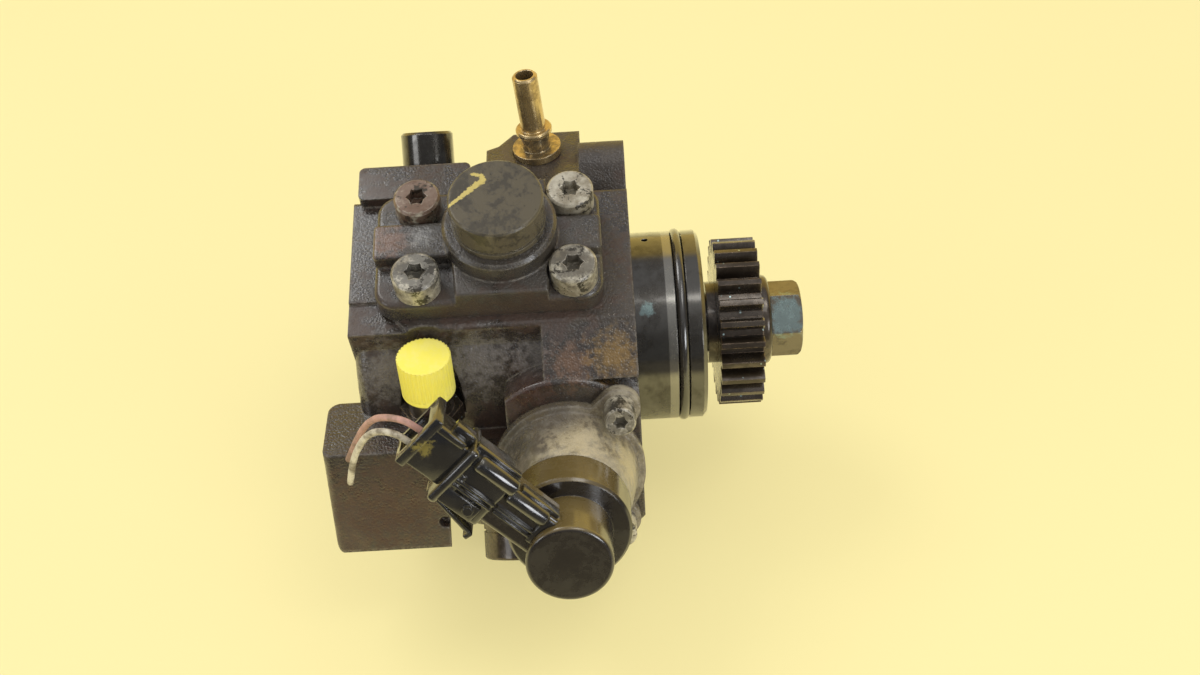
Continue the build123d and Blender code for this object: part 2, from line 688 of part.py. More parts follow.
def nipple_block():
    """Pad that carries the return nipple, with its rear corner cut back."""
    front, rear = NIPPLE_PAD_HALF, -NIPPLE_PAD_HALF - 3
    back = NIPPLE_PAD_HALF - 3.6
    outline = make_face(Polyline(
        (rear, 1 - SEAT_HALF), (rear, 2), (rear + 4, 4), (rear + 9, back), (front, back), (front, 1 - SEAT_HALF), close=True
    ))
    return Pos(NIPPLE_X, NIPPLE_Y, 0) * slab(outline, 0, NIPPLE_BLOCK_Z)


def back_ridge():
    """Low ridge behind the upper seat, at the rear end."""
    ridge = rounded_box(RIDGE_LENGTH, RIDGE_W, 2, 20, SEAT_H + 4)
    middle = HOUSING_REAR + 2 + RIDGE_LENGTH / 2
    return outward(ELEMENT_ANGLES[0]) * Pos(middle, SEAT_HALF + 4, 0) * ridge


def overflow_boss():
    return outward(OVERFLOW_ANGLE) * Pos(OVERFLOW_X, 0, 0) * rod(OVERFLOW_PLUG_R + 1.5, 20, OVERFLOW_SEAT_H)


def valve_frame():
    return outward(VALVE_ANGLE) * Pos(VALVE_X, VALVE_T, 0)


def ear_places():
    return [(reach * cos(radians(angle)), reach * sin(radians(angle))) for angle, reach in VALVE_EARS]


def pump_housing():
    barrel_form = rod(BODY_R, HOUSING_REAR, 0)
    body = shaft_wise(fillet(barrel_form.edges().group_by(Axis.Z)[0], REAR_EDGE_R))
    for angle in ELEMENT_ANGLES:
        body += seat_block(angle)
    body += valve_boss()
    body += outlet_block()
    for angle in LUG_ANGLES:
        body += lug(angle)
    body += nipple_block()
    body += back_ridge()
    body += overflow_boss()
    body -= seat_relief()
    for angle in ELEMENT_ANGLES:
        body -= head_room(angle)
    body -= shaft_wise(rod(MAIN_BORE_R, HOUSING_REAR - 20, 1))
    body -= shaft_wise(rod(PILOT_R + LOOSE_GAP, -PILOT_SEAT, 1))
    body -= shaft_wise(rod(REAR_STEP_R, HOUSING_REAR - 1, HOUSING_REAR + REAR_STEP_DEPTH))
    for angle in ELEMENT_ANGLES:
        body -= in_element(angle, rod(SPRING_WELL_R, 10, SEAT_H + 1))
        for x, t in bolt_places():
            body -= in_element(angle, Pos(x, t, 0) * rod(BOLT_R, SEAT_H - BOLT_DEPTH, SEAT_H + 1))
    body -= valve_frame() * rod(VALVE_BORE_R, VALVE_BORE_FLOOR, BOSS_H + 20)
    for x, t in ear_places():
        body -= valve_frame() * Pos(x, t, 0) * rod(VALVE_SCREW_R, BOSS_H - VALVE_SCREW_DEPTH, BOSS_H + 1)
    body -= outward(OVERFLOW_ANGLE) * Pos(OVERFLOW_X, 0, 0) * rod(
        OVERFLOW_BORE_R, OVERFLOW_FLOOR_H, OVERFLOW_SEAT_H + 1
    )
    body -= Pos(OUTLET_X, OUTLET_Y, 0) * rod(SPOTFACE_R, BLOCK_TOP_Z, CAP_TOP_Z + 3)
    body -= Pos(OUTLET_X, OUTLET_Y, 0) * rod(FITTING_R, BLOCK_TOP_Z - 10, BLOCK_TOP_Z + 1)
    body -= nipple_frame() * rod(NIPPLE_R + 1, -NIPPLE_STEM, 3)
    body -= nipple_frame() * rod(NIPPLE_FLANGE_R + LOOSE_GAP, 0, 3)
    for angle in LUG_ANGLES:
        y, z = place(angle, LUG_RADIUS)
        body -= Pos(0, y, z) * shaft_wise(rod(LUG_HOLE_R, -FLANGE_T - 1, 1))
    y, z = place(STUD_HOLE_ANGLE, STUD_HOLE_RADIUS)
    body -= Pos(0, y, z) * shaft_wise(rod(BOLT_R, -STUD_HOLE_DEPTH, 1))
    for place_ in cover_screw_places():
        body -= shaft_wise(place_ * rod(COVER_SCREW_R, HOUSING_REAR, HOUSING_REAR + REAR_STEP_DEPTH + 7))
    return body


# Metering valve


SEAL_H = BOSS_H - 4


def valve_body():
    """Aluminium valve body: spigot, three-eared flange and tapered neck, cut away round the screw heads."""
    sketch = Circle(VALVE_FLANGE_R)
    for x, t in ear_places():
        ear = Pos(x, t) * Circle(VALVE_EAR_R)
        root = Pos(0.6 * x, 0.6 * t) * Circle(VALVE_EAR_R + 1.5)
        sketch += make_hull(ear.edges() + root.edges())
    top = BOSS_H + VALVE_FLANGE_T
    body = slab(sketch, BOSS_H, top)
    neck_height = VALVE_NECK_H - top
    neck = Cone(VALVE_BODY_R, VALVE_RING_R, neck_height, align=(Align.CENTER, Align.CENTER, Align.MIN))
    body += Pos(0, 0, top) * neck
    body += rod(VALVE_BORE_R - 0.05, VALVE_BORE_FLOOR + 0.5, BOSS_H)
    body -= sleeve(VALVE_BORE_R + 1, VALVE_BORE_R - 2 * VALVE_SEAL_R, SEAL_H - VALVE_SEAL_R, SEAL_H + VALVE_SEAL_R)
    for x, t in ear_places():
        body -= Pos(x, t, 0) * rod(VALVE_SCREW_R, BOSS_H - 1, top + 1)
        body -= Pos(x, t, 0) * rod(VALVE_SCREW_HEAD_R + LOOSE_GAP, top, VALVE_NECK_H + 1)
    body -= rod(SPOOL_R + SLIDE_GAP, VALVE_BORE_FLOOR, VALVE_NECK_H + 1)
    body -= rod(CORE_R, VALVE_NECK_H - CORE_ROOT, VALVE_NECK_H + 1)
    return valve_frame() * body


def valve_o_ring():
    return valve_frame() * Pos(0, 0, SEAL_H) * seal_ring(VALVE_BORE_R - VALVE_SEAL_R, VALVE_SEAL_R)


def valve_screws():
    screws = []
    top = BOSS_H + VALVE_FLANGE_T
    for x, t in ear_places():
        head = rod(VALVE_SCREW_HEAD_R, top, top + VALVE_SCREW_HEAD_T)
        head = chamfer(head.edges().group_by(Axis.Z)[-1], 0.5)
        screw = head + rod(VALVE_SCREW_R, BOSS_H - VALVE_SCREW_DEPTH, top)
        screw -= torx_recess(2.4, 3.0, top + VALVE_SCREW_HEAD_T)
        screws.append(valve_frame() * Pos(x, t, 0) * screw)
    return screws


def core_tube():
    floor = VALVE_NECK_H - CORE_ROOT
    tube = rod(CORE_R, floor, CORE_TOP_H)
    tube -= rod(CORE_BORE_R, floor + CORE_WALL, CORE_TOP_H - CORE_WALL)
    tube -= rod(SPOOL_R + SLIDE_GAP, floor - 1, floor + CORE_WALL + 1)
    return valve_frame() * tube


def metering_spool():
    spool = rod(SPOOL_R, VALVE_BORE_FLOOR + SPOOL_TRAVEL / 2, ARMATURE_H)
    spool -= sleeve(SPOOL_R + 1, SPOOL_R - 0.8, BOSS_H - 6, BOSS_H - 2)
    return valve_frame() * spool


def valve_armature():
    return valve_frame() * rod(CORE_BORE_R - 2 * SLIDE_GAP, ARMATURE_H, ARMATURE_H + ARMATURE_LENGTH)


def metering_spring():
    spring = coil_spring(2.6, 0.4, ARMATURE_H + ARMATURE_LENGTH, CORE_TOP_H - CORE_WALL, 3)
    return valve_frame() * spring


def solenoid_coil():
    return valve_frame() * sleeve(COIL_R, CORE_R, VALVE_NECK_H, VALVE_RING_H - COIL_COVER)


def along_connector():
    """Frame of the connector: Z away from the valve, Y sideways, X towards the valve's end."""
    return Pos(0, 0, CONNECTOR_H) * Rot(0, 0, CONNECTOR_ANGLE) * Rot(0, 90, 0)


def coil_housing():
    """Plastic overmould: wide ring, end cap and the connector's socket."""
    ring = rod(VALVE_RING_R, VALVE_NECK_H, VALVE_RING_H)
    ring = chamfer(ring.edges().group_by(Axis.Z)[-1], 0.8)
    cap = rod(VALVE_CAP_R, VALVE_RING_H - 1, VALVE_CAP_H)
    cap = fillet(cap.edges().group_by(Axis.Z)[-1], 1.2)
    body = ring + cap
    root = VALVE_RING_H - 1
    side = make_face(Polyline(
        (CORE_R, root), (VALVE_RING_R, root), (SOCKET_END - 4, CONNECTOR_H), (CORE_R, CONNECTOR_H), close=True
    ))
    rib = extrude(Plane.XZ * side, amount=RIB_W / 2, both=True)
    body += Rot(0, 0, CONNECTOR_ANGLE) * rib
    outer = rounded_box(SOCKET_T, SOCKET_W, 1.5, 0, SOCKET_END)
    inner = rounded_box(SOCKET_T - 2 * SOCKET_WALL, SOCKET_W - 2 * SOCKET_WALL, 1, SOCKET_FLOOR, SOCKET_END + 1)
    body += along_connector() * outer
    body -= along_connector() * inner
    body -= rod(CORE_R, VALVE_NECK_H - 1, CORE_TOP_H)
    body -= rod(COIL_R, VALVE_NECK_H - 1, VALVE_RING_H - COIL_COVER)
    for side in (-1, 1):
        body -= along_connector() * Pos(0, side * PIN_PITCH / 2, 0) * connector_pin()
    return valve_frame() * body


def connector_pin():
    start = SOCKET_FLOOR - 3
    return Pos(0, 0, start) * Box(PIN_T, PIN_W, SOCKET_END - 2 - start, align=(Align.CENTER, Align.CENTER, Align.MIN))


def connector_pins():
    frame = valve_frame() * along_connector()
    return [frame * Pos(0, side * PIN_PITCH / 2, 0) * connector_pin() for side in (-1, 1)]


def connector_plug():
    """Two-way plug: ribbed shroud over the socket, collar, narrower rear half with an end frame, side latch."""
    shroud = rounded_box(PLUG_T, PLUG_W, 1.5, PLUG_START, PLUG_STEP)
    rear = rounded_box(PLUG_REAR_T, PLUG_REAR_W, 1.2, PLUG_STEP, PLUG_END)
    wider = 2 * PLUG_COLLAR
    collar = rounded_box(PLUG_T + wider, PLUG_W + wider, 1.8, PLUG_STEP - 3, PLUG_STEP)
    end_frame = rounded_box(PLUG_REAR_T + wider, PLUG_REAR_W + wider, 1.2, PLUG_END - 3, PLUG_END)
    body = shroud + rear + collar + end_frame
    face = -PLUG_T / 2
    body += Pos(face, -PLUG_W / 4, 0) * rod(PLUG_BAR_R, PLUG_START + 4, PLUG_STEP - 2)
    for rib_y in (PLUG_W / 12, PLUG_W / 4):
        body += Pos(face, rib_y, 0) * rounded_box(2 * PLUG_COLLAR, PLUG_COLLAR, 0.3, PLUG_START, PLUG_STEP - 2)
    body += Pos(face, 0, 0) * rounded_box(3, PLUG_W - 3, 1.0, PLUG_STEP - 3, PLUG_STEP)
    latch_y = PLUG_W / 2 + 1
    latch = Pos(1, latch_y, 0) * rounded_box(PLUG_T - 4, 2, 0.6, PLUG_START - 2, PLUG_STEP - 1)
    latch -= Pos(-1, latch_y, PLUG_START + 7) * Rot(90, 0, 0) * Cylinder(1.5, 9)
    body += latch
    body += Pos(2, -latch_y + 0.4, 0) * rounded_box(PLUG_T - 7, 1.4, 0.5, PLUG_START, PLUG_STEP)
    gap = 2 * LOOSE_GAP
    body -= rounded_box(SOCKET_T + gap, SOCKET_W + gap, 1.8, PLUG_START - 1, SOCKET_END + LOOSE_GAP)
    tongue_t = SOCKET_T - 2 * SOCKET_WALL - gap
    tongue_w = SOCKET_W - 2 * SOCKET_WALL - gap
    body += rounded_box(tongue_t, tongue_w, 0.8, TONGUE_END, SOCKET_END + 1)
    for side in (-1, 1):
        body -= Pos(0, side * PIN_PITCH / 2, 0) * Box(PIN_T + gap, PIN_W + gap, 2 * SOCKET_END)
        body -= Pos(0, side * PIN_PITCH / 2, 0) * rod(WIRE_R + LOOSE_GAP, WIRE_START, PLUG_END + 1)
    return valve_frame() * along_connector() * body


def wire(route):
    """Cut wire as straight runs joined by arcs, each arc as large as its two runs allow."""
    points = [Vector(inward, sideways, PLUG_END + away) for away, sideways, inward in route]
    radii = []
    for before, corner, after in zip(points, points[1:], points[2:]):
        turn = (corner - before).get_angle(after - corner)
        run = min((corner - before).length, (after - corner).length)
        radii.append(0.45 * run / tan(radians(turn) / 2))
    print("wire radii", [round(radius, 1) for radius in radii])
    path = FilletPolyline(*points, radius=radii)
    section = Plane(origin=path @ 0, z_dir=path % 0) * Circle(WIRE_R)
    print("wire length", round(path.length, 1))
    return valve_frame() * along_connector() * sweep(section, path=path)


# Ports


def outlet_fitting():
    """Threaded high-pressure stub on the block's top, with a hexagon and a cone seat."""
    hexagon_part = slab(hexagon(FITTING_HEX), BLOCK_TOP_Z, BLOCK_TOP_Z + FITTING_HEX_T)
    stem = rod(FITTING_R, BLOCK_TOP_Z - 10, FITTING_TOP_Z)
    stem = chamfer(stem.edges().group_by(Axis.Z)[-1], 1.2)
    body = hexagon_part + stem - rod(FITTING_BORE_R, BLOCK_TOP_Z - 11, FITTING_TOP_Z + 1)
    return Pos(OUTLET_X, OUTLET_Y, 0) * body


def protective_cap():
    """Fluted plastic cap pressed over the stub's thread."""
    cap = rod(CAP_R, CAP_BOTTOM_Z, CAP_TOP_Z)
    flutes = PolarLocations(CAP_R + 0.12, CAP_FLUTES) * rod(0.42, CAP_BOTTOM_Z + 1.6, CAP_TOP_Z + 1)
    cap -= flutes
    cap -= rod(FITTING_R + LOOSE_GAP, CAP_BOTTOM_Z - 1, FITTING_TOP_Z + LOOSE_GAP)
    return Pos(OUTLET_X, OUTLET_Y, 0) * cap


def nipple_frame():
    """Frame of the nipple, which leans a little to the rear; Z = 0 is its spotface."""
    return Pos(NIPPLE_X, NIPPLE_Y, NIPPLE_BLOCK_Z) * Rot(0, -NIPPLE_LEAN, 0)


def return_nipple():
    """Quick-connect tube with a bead, a base flange, a rounded tip and a screwed stem."""
    body = rod(NIPPLE_R + 1, -NIPPLE_STEM, 0)
    body += rod(NIPPLE_FLANGE_R, 0, 2.5)
    body += rod(NIPPLE_R + 0.6, 2.5, NIPPLE_BEAD)
    bead = rod(NIPPLE_BEAD_R, NIPPLE_BEAD, NIPPLE_BEAD + 2)
    body += chamfer(bead.edges(), 0.5)
    tip = rod(NIPPLE_R, NIPPLE_BEAD, NIPPLE_LENGTH)
    body += chamfer(tip.edges().group_by(Axis.Z)[-1], 0.6)
    body -= rod(NIPPLE_BORE_R, -NIPPLE_STEM - 1, NIPPLE_LENGTH + 1)
    return nipple_frame() * body


def in_overflow(shape):
    return outward(OVERFLOW_ANGLE) * Pos(OVERFLOW_X, 0, 0) * shape


def overflow_plug():
    body = rod(OVERFLOW_PLUG_R, OVERFLOW_SEAT_H, OVERFLOW_PLUG_H)
    body = chamfer(body.edges().group_by(Axis.Z)[-1], 0.8)
    body += rod(OVERFLOW_BORE_R, OVERFLOW_SEAT_H - 6, OVERFLOW_SEAT_H)
    body -= slab(hexagon(6), OVERFLOW_PLUG_H - 3.8, OVERFLOW_PLUG_H + 1)
    return in_overflow(body)


def overflow_piston():
    start = OVERFLOW_FLOOR_H + LOOSE_GAP
    return in_overflow(rod(OVERFLOW_BORE_R - 2 * SLIDE_GAP, start, start + OVERFLOW_PISTON_LENGTH))


def overflow_spring():
    start = OVERFLOW_FLOOR_H + LOOSE_GAP + OVERFLOW_PISTON_LENGTH
    return in_overflow(coil_spring(3.6, 0.6, start, OVERFLOW_SEAT_H - 6, 3))


def build_parts():
    parts = {
        "pump_housing": pump_housing(),
        "pilot_flange": pilot_flange(),
        "o_rings": [pilot_o_ring(), valve_o_ring()],
        "shaft_seal": shaft_seal(),
        "front_bush": front_bush(),
        "rear_bush": rear_bush(),
        "thrust_washers": thrust_washers(),
        "rear_cover": rear_cover(),
        "rear_cover_screws": cover_screws(),
        "drive_shaft": drive_shaft(),
        "shaft_key": key_block(),
        "drive_gear": drive_gear(),
        "gear_washer": gear_washer(),
        "shaft_nut": shaft_nut(),
        "cam_ring": cam_ring(),
        "cam_ring_bush": cam_ring_bush(),
        "valve_body": valve_body(),
        "valve_screws": valve_screws(),
        "valve_core_tube": core_tube(),
        "metering_spool": metering_spool(),
        "valve_armature": valve_armature(),
        "metering_spring": metering_spring(),
        "solenoid_coil": solenoid_coil(),
        "coil_housing": coil_housing(),
        "connector_pins": connector_pins(),
        "connector_plug": connector_plug(),
        "wire_pink": wire(PINK_ROUTE),
        "wire_white": wire(WHITE_ROUTE),
        "outlet_fitting": outlet_fitting(),
        "protective_cap": protective_cap(),
        "return_nipple": return_nipple(),
        "overflow_plug": overflow_plug(),
        "overflow_piston": overflow_piston(),
        "overflow_spring": overflow_spring(),
    }
    makers = {
        "cylinder_head": cylinder_head,
        "head_plug": head_plug,
        "barrel": barrel,
        "plunger": plunger,
        "tappet_foot": tappet_foot,
        "suction_valve": suction_valve,
        "outlet_ball": outlet_ball,
    }
    for name, maker in makers.items():
        shape = maker()
        for number, angle in enumerate(ELEMENT_ANGLES, start=1):
            parts[f"{name}_{number}"] = in_element(angle, shape)
    parts["plunger_springs"] = [in_element(angle, plunger_spring()) for angle in ELEMENT_ANGLES]
    parts["outlet_plugs"] = [in_element(angle, outlet_plug()) for angle in ELEMENT_ANGLES]
    parts["head_bolts"] = [in_element(angle, bolt) for angle in ELEMENT_ANGLES for bolt in head_bolts()]
    return parts


os.makedirs("parts", exist_ok=True)
for node, shape in build_parts().items():
    solid = Compound(children=list(shape)) if isinstance(shape, list) else shape
    export_step(solid, f"parts/{node}.step")
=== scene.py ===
import bmesh
import bpy
import json
from math import radians
from mathutils import Matrix, Vector


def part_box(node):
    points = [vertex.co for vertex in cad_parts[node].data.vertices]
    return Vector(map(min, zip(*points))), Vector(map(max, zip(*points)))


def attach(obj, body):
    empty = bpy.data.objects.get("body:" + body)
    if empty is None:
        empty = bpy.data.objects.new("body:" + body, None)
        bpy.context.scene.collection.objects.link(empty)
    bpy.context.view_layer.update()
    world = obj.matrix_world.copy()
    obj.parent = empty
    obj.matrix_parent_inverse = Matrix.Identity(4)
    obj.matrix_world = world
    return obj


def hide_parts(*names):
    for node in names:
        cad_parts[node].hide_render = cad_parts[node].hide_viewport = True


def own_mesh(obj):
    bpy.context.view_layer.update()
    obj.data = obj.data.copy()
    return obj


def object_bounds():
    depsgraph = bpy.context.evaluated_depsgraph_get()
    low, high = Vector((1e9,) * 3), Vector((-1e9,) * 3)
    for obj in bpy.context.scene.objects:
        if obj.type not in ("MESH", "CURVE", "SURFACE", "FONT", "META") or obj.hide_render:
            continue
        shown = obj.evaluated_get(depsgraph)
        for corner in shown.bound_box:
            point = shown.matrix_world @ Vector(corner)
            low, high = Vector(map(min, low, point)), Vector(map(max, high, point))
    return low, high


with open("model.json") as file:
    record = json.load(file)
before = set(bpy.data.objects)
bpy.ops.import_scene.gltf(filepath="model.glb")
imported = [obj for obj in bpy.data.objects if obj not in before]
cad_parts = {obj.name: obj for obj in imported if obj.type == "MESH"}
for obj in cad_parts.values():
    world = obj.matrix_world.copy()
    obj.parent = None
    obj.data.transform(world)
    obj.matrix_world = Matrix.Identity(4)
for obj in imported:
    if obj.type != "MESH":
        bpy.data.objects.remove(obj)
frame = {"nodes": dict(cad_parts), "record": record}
cad_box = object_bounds()
nodes = frame["nodes"]
scene = bpy.context.scene
for loaded in bpy.context.selected_objects:
    loaded.select_set(False)

MM = 1000  # millimetres in a metre


# Camera at the photograph's angle

CAMERA_AT = (-0.00845, -0.36826, 0.33464)
CAMERA_TURN = radians(0.467)
CAMERA_TILT = radians(90 - 42.617)
CAMERA_ROLL = radians(-3.601)
CAMERA_LENS = 44.1
SENSOR_WIDTH = 36
NEAR_CLIP = 0.01

camera_data = bpy.data.cameras.new("camera")
camera_data.sensor_width = SENSOR_WIDTH
camera_data.lens = CAMERA_LENS
camera_data.clip_start = NEAR_CLIP
camera = bpy.data.objects.new("camera", camera_data)
scene.collection.objects.link(camera)
camera.matrix_world = (
    Matrix.Translation(CAMERA_AT)
    @ Matrix.Rotation(CAMERA_TURN, 4, "Z")
    @ Matrix.Rotation(CAMERA_TILT, 4, "X")
    @ Matrix.Rotation(CAMERA_ROLL, 4, "Z")
)
scene.camera = camera


# Shader helpers


def add(tree, kind, inputs=None, **settings):
    """Adds a shader node; inputs maps a socket's name or number to a value or to another node's socket."""
    node = tree.nodes.new(kind)
    for name, value in settings.items():
        setattr(node, name, value)
    for key, value in (inputs or {}).items():
        socket = node.inputs[key]
        if isinstance(value, bpy.types.NodeSocket):
            tree.links.new(value, socket)
        else:
            socket.default_value = value
    return node


def math_node(tree, operation, a, b=0.0, clamp=False):
    return add(tree, "ShaderNodeMath", {0: a, 1: b}, operation=operation, use_clamp=clamp).outputs[0]


def remap(tree, value, low, high, to_low=0.0, to_high=1.0):
    inputs = {"Value": value, "From Min": low, "From Max": high, "To Min": to_low, "To Max": to_high}
    return add(tree, "ShaderNodeMapRange", inputs, interpolation_type="SMOOTHSTEP").outputs["Result"]


def mix_color(tree, factor, a, b):
    return add(tree, "ShaderNodeMix", {0: factor, 6: a, 7: b}, data_type="RGBA").outputs[2]


def mix_value(tree, factor, a, b):
    return add(tree, "ShaderNodeMix", {0: factor, 2: a, 3: b}, data_type="FLOAT").outputs[0]


def noise(tree, vector, scale, detail=4.0, roughness=0.55, distortion=0.0):
    inputs = {"Vector": vector, "Scale": scale, "Detail": detail, "Roughness": roughness, "Distortion": distortion}
    return add(tree, "ShaderNodeTexNoise", inputs).outputs["Fac"]


def new_group(name, inputs, outputs):
    """An empty shader group with named sockets; inputs maps a name to (socket type, default)."""
    group = bpy.data.node_groups.new(name, "ShaderNodeTree")
    for label, (kind, default) in inputs.items():
        socket = group.interface.new_socket(label, in_out="INPUT", socket_type=kind)
        socket.default_value = default
    for label, kind in outputs.items():
        group.interface.new_socket(label, in_out="OUTPUT", socket_type=kind)
    start = group.nodes.new("NodeGroupInput")
    end = group.nodes.new("NodeGroupOutput")
    return group, start.outputs, end.inputs


FLOAT = "NodeSocketFloat"
VECTOR = "NodeSocketVector"


def grime_group():
    """Patches of dirt or oil with soft, broken borders."""
    group, given, result = new_group(
        "grime",
        {"Scale": (FLOAT, 60.0), "Coverage": (FLOAT, 0.4), "Softness": (FLOAT, 0.12), "Seed": (FLOAT, 0.0)},
        {"Mask": FLOAT},
    )
    place = add(group, "ShaderNodeTexCoord").outputs["Object"]
    moved = add(group, "ShaderNodeVectorMath", {0: place, 1: given["Seed"]}, operation="ADD").outputs[0]
    large = noise(group, moved, given["Scale"], 5.0, 0.62, 0.6)
    fine_scale = math_node(group, "MULTIPLY", given["Scale"], 6.5)
    fine = noise(group, moved, fine_scale, 3.0, 0.6)
    blended = mix_value(group, 0.3, large, fine)
    edge = math_node(group, "SUBTRACT", 1.0, given["Coverage"])
    low = math_node(group, "SUBTRACT", edge, given["Softness"])
    high = math_node(group, "ADD", edge, given["Softness"])
    stretched = remap(group, blended, 0.28, 0.72)
    group.links.new(remap(group, stretched, low, high), result["Mask"])
    return group


def edge_group():
    """Where corners are rubbed bare, with broken borders."""
    group, given, result = new_group(
        "edge_wear",
        {"Radius": (FLOAT, 0.0007), "Amount": (FLOAT, 0.6), "Scale": (FLOAT, 400.0)},
        {"Mask": FLOAT, "Rounded": VECTOR},
    )
    round_normal = add(group, "ShaderNodeBevel", {"Radius": given["Radius"]}, samples=6).outputs[0]
    flat_normal = add(group, "ShaderNodeNewGeometry").outputs["Normal"]
    product = add(group, "ShaderNodeVectorMath", {0: round_normal, 1: flat_normal}, operation="DOT_PRODUCT")
    bend = math_node(group, "SUBTRACT", 1.0, product.outputs["Value"])
    place = add(group, "ShaderNodeTexCoord").outputs["Object"]
    broken = remap(group, noise(group, place, given["Scale"], 5.0, 0.7), 0.36, 0.62)
    worn = math_node(group, "MULTIPLY", remap(group, bend, 0.01, 0.16), broken)
    group.links.new(math_node(group, "MULTIPLY", worn, given["Amount"], True), result["Mask"])
    group.links.new(round_normal, result["Rounded"])
    return group


def spot_group():
    """A round patch with a broken border about one place on the pump."""
    group, given, result = new_group(
        "spot",
        {"Centre": (VECTOR, (0.0, 0.0, 0.0)), "Radius": (FLOAT, 0.005), "Softness": (FLOAT, 0.3)},
        {"Mask": FLOAT},
    )
    place = add(group, "ShaderNodeTexCoord").outputs["Object"]
    reach = add(group, "ShaderNodeVectorMath", {0: place, 1: given["Centre"]}, operation="DISTANCE").outputs["Value"]
    share = math_node(group, "DIVIDE", reach, given["Radius"])
    waver = remap(group, noise(group, place, 420.0, 5.0, 0.65), 0.3, 0.7, -0.35, 0.35)
    ragged = math_node(group, "ADD", share, waver)
    inner = math_node(group, "SUBTRACT", 1.0, given["Softness"])
    group.links.new(remap(group, ragged, inner, 1.0, 1.0, 0.0), result["Mask"])
    return group


def stroke_group():
    """A brush stroke between two places, ragged along its sides."""
    group, given, result = new_group(
        "stroke",
        {"From": (VECTOR, (0.0, 0.0, 0.0)), "To": (VECTOR, (0.0, 0.0, 0.01)),
         "Thin": (FLOAT, 0.0005), "Thick": (FLOAT, 0.001)},
        {"Mask": FLOAT},
    )
    place = add(group, "ShaderNodeTexCoord").outputs["Object"]
    line = add(group, "ShaderNodeVectorMath", {0: given["To"], 1: given["From"]}, operation="SUBTRACT").outputs[0]
    offset = add(group, "ShaderNodeVectorMath", {0: place, 1: given["From"]}, operation="SUBTRACT").outputs[0]
    along = add(group, "ShaderNodeVectorMath", {0: offset, 1: line}, operation="DOT_PRODUCT").outputs["Value"]
    whole = add(group, "ShaderNodeVectorMath", {0: line, 1: line}, operation="DOT_PRODUCT").outputs["Value"]
    share = math_node(group, "DIVIDE", along, whole, True)
    nearest = add(group, "ShaderNodeVectorMath", {0: line, "Scale": share}, operation="SCALE").outputs[0]
    reach = add(group, "ShaderNodeVectorMath", {0: offset, 1: nearest}, operation="DISTANCE").outputs["Value"]
    width = mix_value(group, share, given["Thin"], given["Thick"])
    ragged = remap(group, noise(group, place, 1500.0, 4.0, 0.6), 0.3, 0.7, -0.4, 0.3)
    ratio = math_node(group, "ADD", math_node(group, "DIVIDE", reach, width), ragged)
    group.links.new(remap(group, ratio, 0.75, 1.0, 1.0, 0.0), result["Mask"])
    return group


def glint_group():
    """Sparse bright grains, as on blasted or bruised metal."""
    group, given, result = new_group("glints", {"Scale": (FLOAT, 1500.0), "Amount": (FLOAT, 0.3)}, {"Mask": FLOAT})
    place = add(group, "ShaderNodeTexCoord").outputs["Object"]
    grains = add(group, "ShaderNodeTexVoronoi", {"Vector": place, "Scale": given["Scale"]}, feature="F1")
    dot = remap(group, grains.outputs["Distance"], 0.12, 0.3, 1.0, 0.0)
    chosen = add(group, "ShaderNodeSeparateXYZ", {0: grains.outputs["Color"]}).outputs[0]
    lit = math_node(group, "LESS_THAN", chosen, given["Amount"])
    group.links.new(math_node(group, "MULTIPLY", dot, lit), result["Mask"])
    return group


def cast_group():
    """Sand-cast skin: pitted grain with slow swells."""
    group, given, result = new_group(
        "cast_skin", {"Grain": (FLOAT, 1400.0), "Swell": (FLOAT, 90.0)}, {"Height": FLOAT, "Speckle": FLOAT}
    )
    place = add(group, "ShaderNodeTexCoord").outputs["Object"]
    grain = noise(group, place, given["Grain"], 3.0, 0.6)
    swell = noise(group, place, given["Swell"], 3.0, 0.5)
    pits = add(group, "ShaderNodeTexVoronoi", {"Vector": place, "Scale": given["Grain"]}, feature="SMOOTH_F1")
    dents = remap(group, pits.outputs["Distance"], 0.0, 0.55)
    rough = mix_value(group, 0.45, grain, dents)
    group.links.new(mix_value(group, 0.45, rough, swell), result["Height"])
    group.links.new(rough, result["Speckle"])
    return group


def turning_group():
    """Fine tool marks that run round the shaft's axis."""
    group, given, result = new_group("turning_marks", {"Pitch": (FLOAT, 2600.0)}, {"Marks": FLOAT})
    place = add(group, "ShaderNodeTexCoord").outputs["Object"]
    parts = add(group, "ShaderNodeSeparateXYZ", {0: place}).outputs
    square_y = math_node(group, "MULTIPLY", parts["Y"], parts["Y"])
    square_z = math_node(group, "MULTIPLY", parts["Z"], parts["Z"])
    reach = math_node(group, "SQRT", math_node(group, "ADD", square_y, square_z))
    line = add(group, "ShaderNodeCombineXYZ", {0: parts["X"], 1: reach, 2: 0.0}).outputs[0]
    group.links.new(noise(group, line, given["Pitch"], 4.0, 0.65), result["Marks"])
    return group


GRIME = grime_group()
EDGE = edge_group()
CAST = cast_group()
TURNING = turning_group()
SPOT = spot_group()
STROKE = stroke_group()
GLINTS = glint_group()


def use(tree, group, **inputs):
    """Puts a shared group in a material, with constants on its own sockets; returns its outputs."""
    node = tree.nodes.new("ShaderNodeGroup")
    node.node_tree = group
    for name, value in inputs.items():
        node.inputs[name].default_value = value
    return node.outputs


def new_material(name):
    """A material with its Principled shader; returns (material, tree, shader)."""
    material = bpy.data.materials.new(name)
    material.use_nodes = True
    tree = material.node_tree
    return material, tree, tree.nodes["Principled BSDF"]


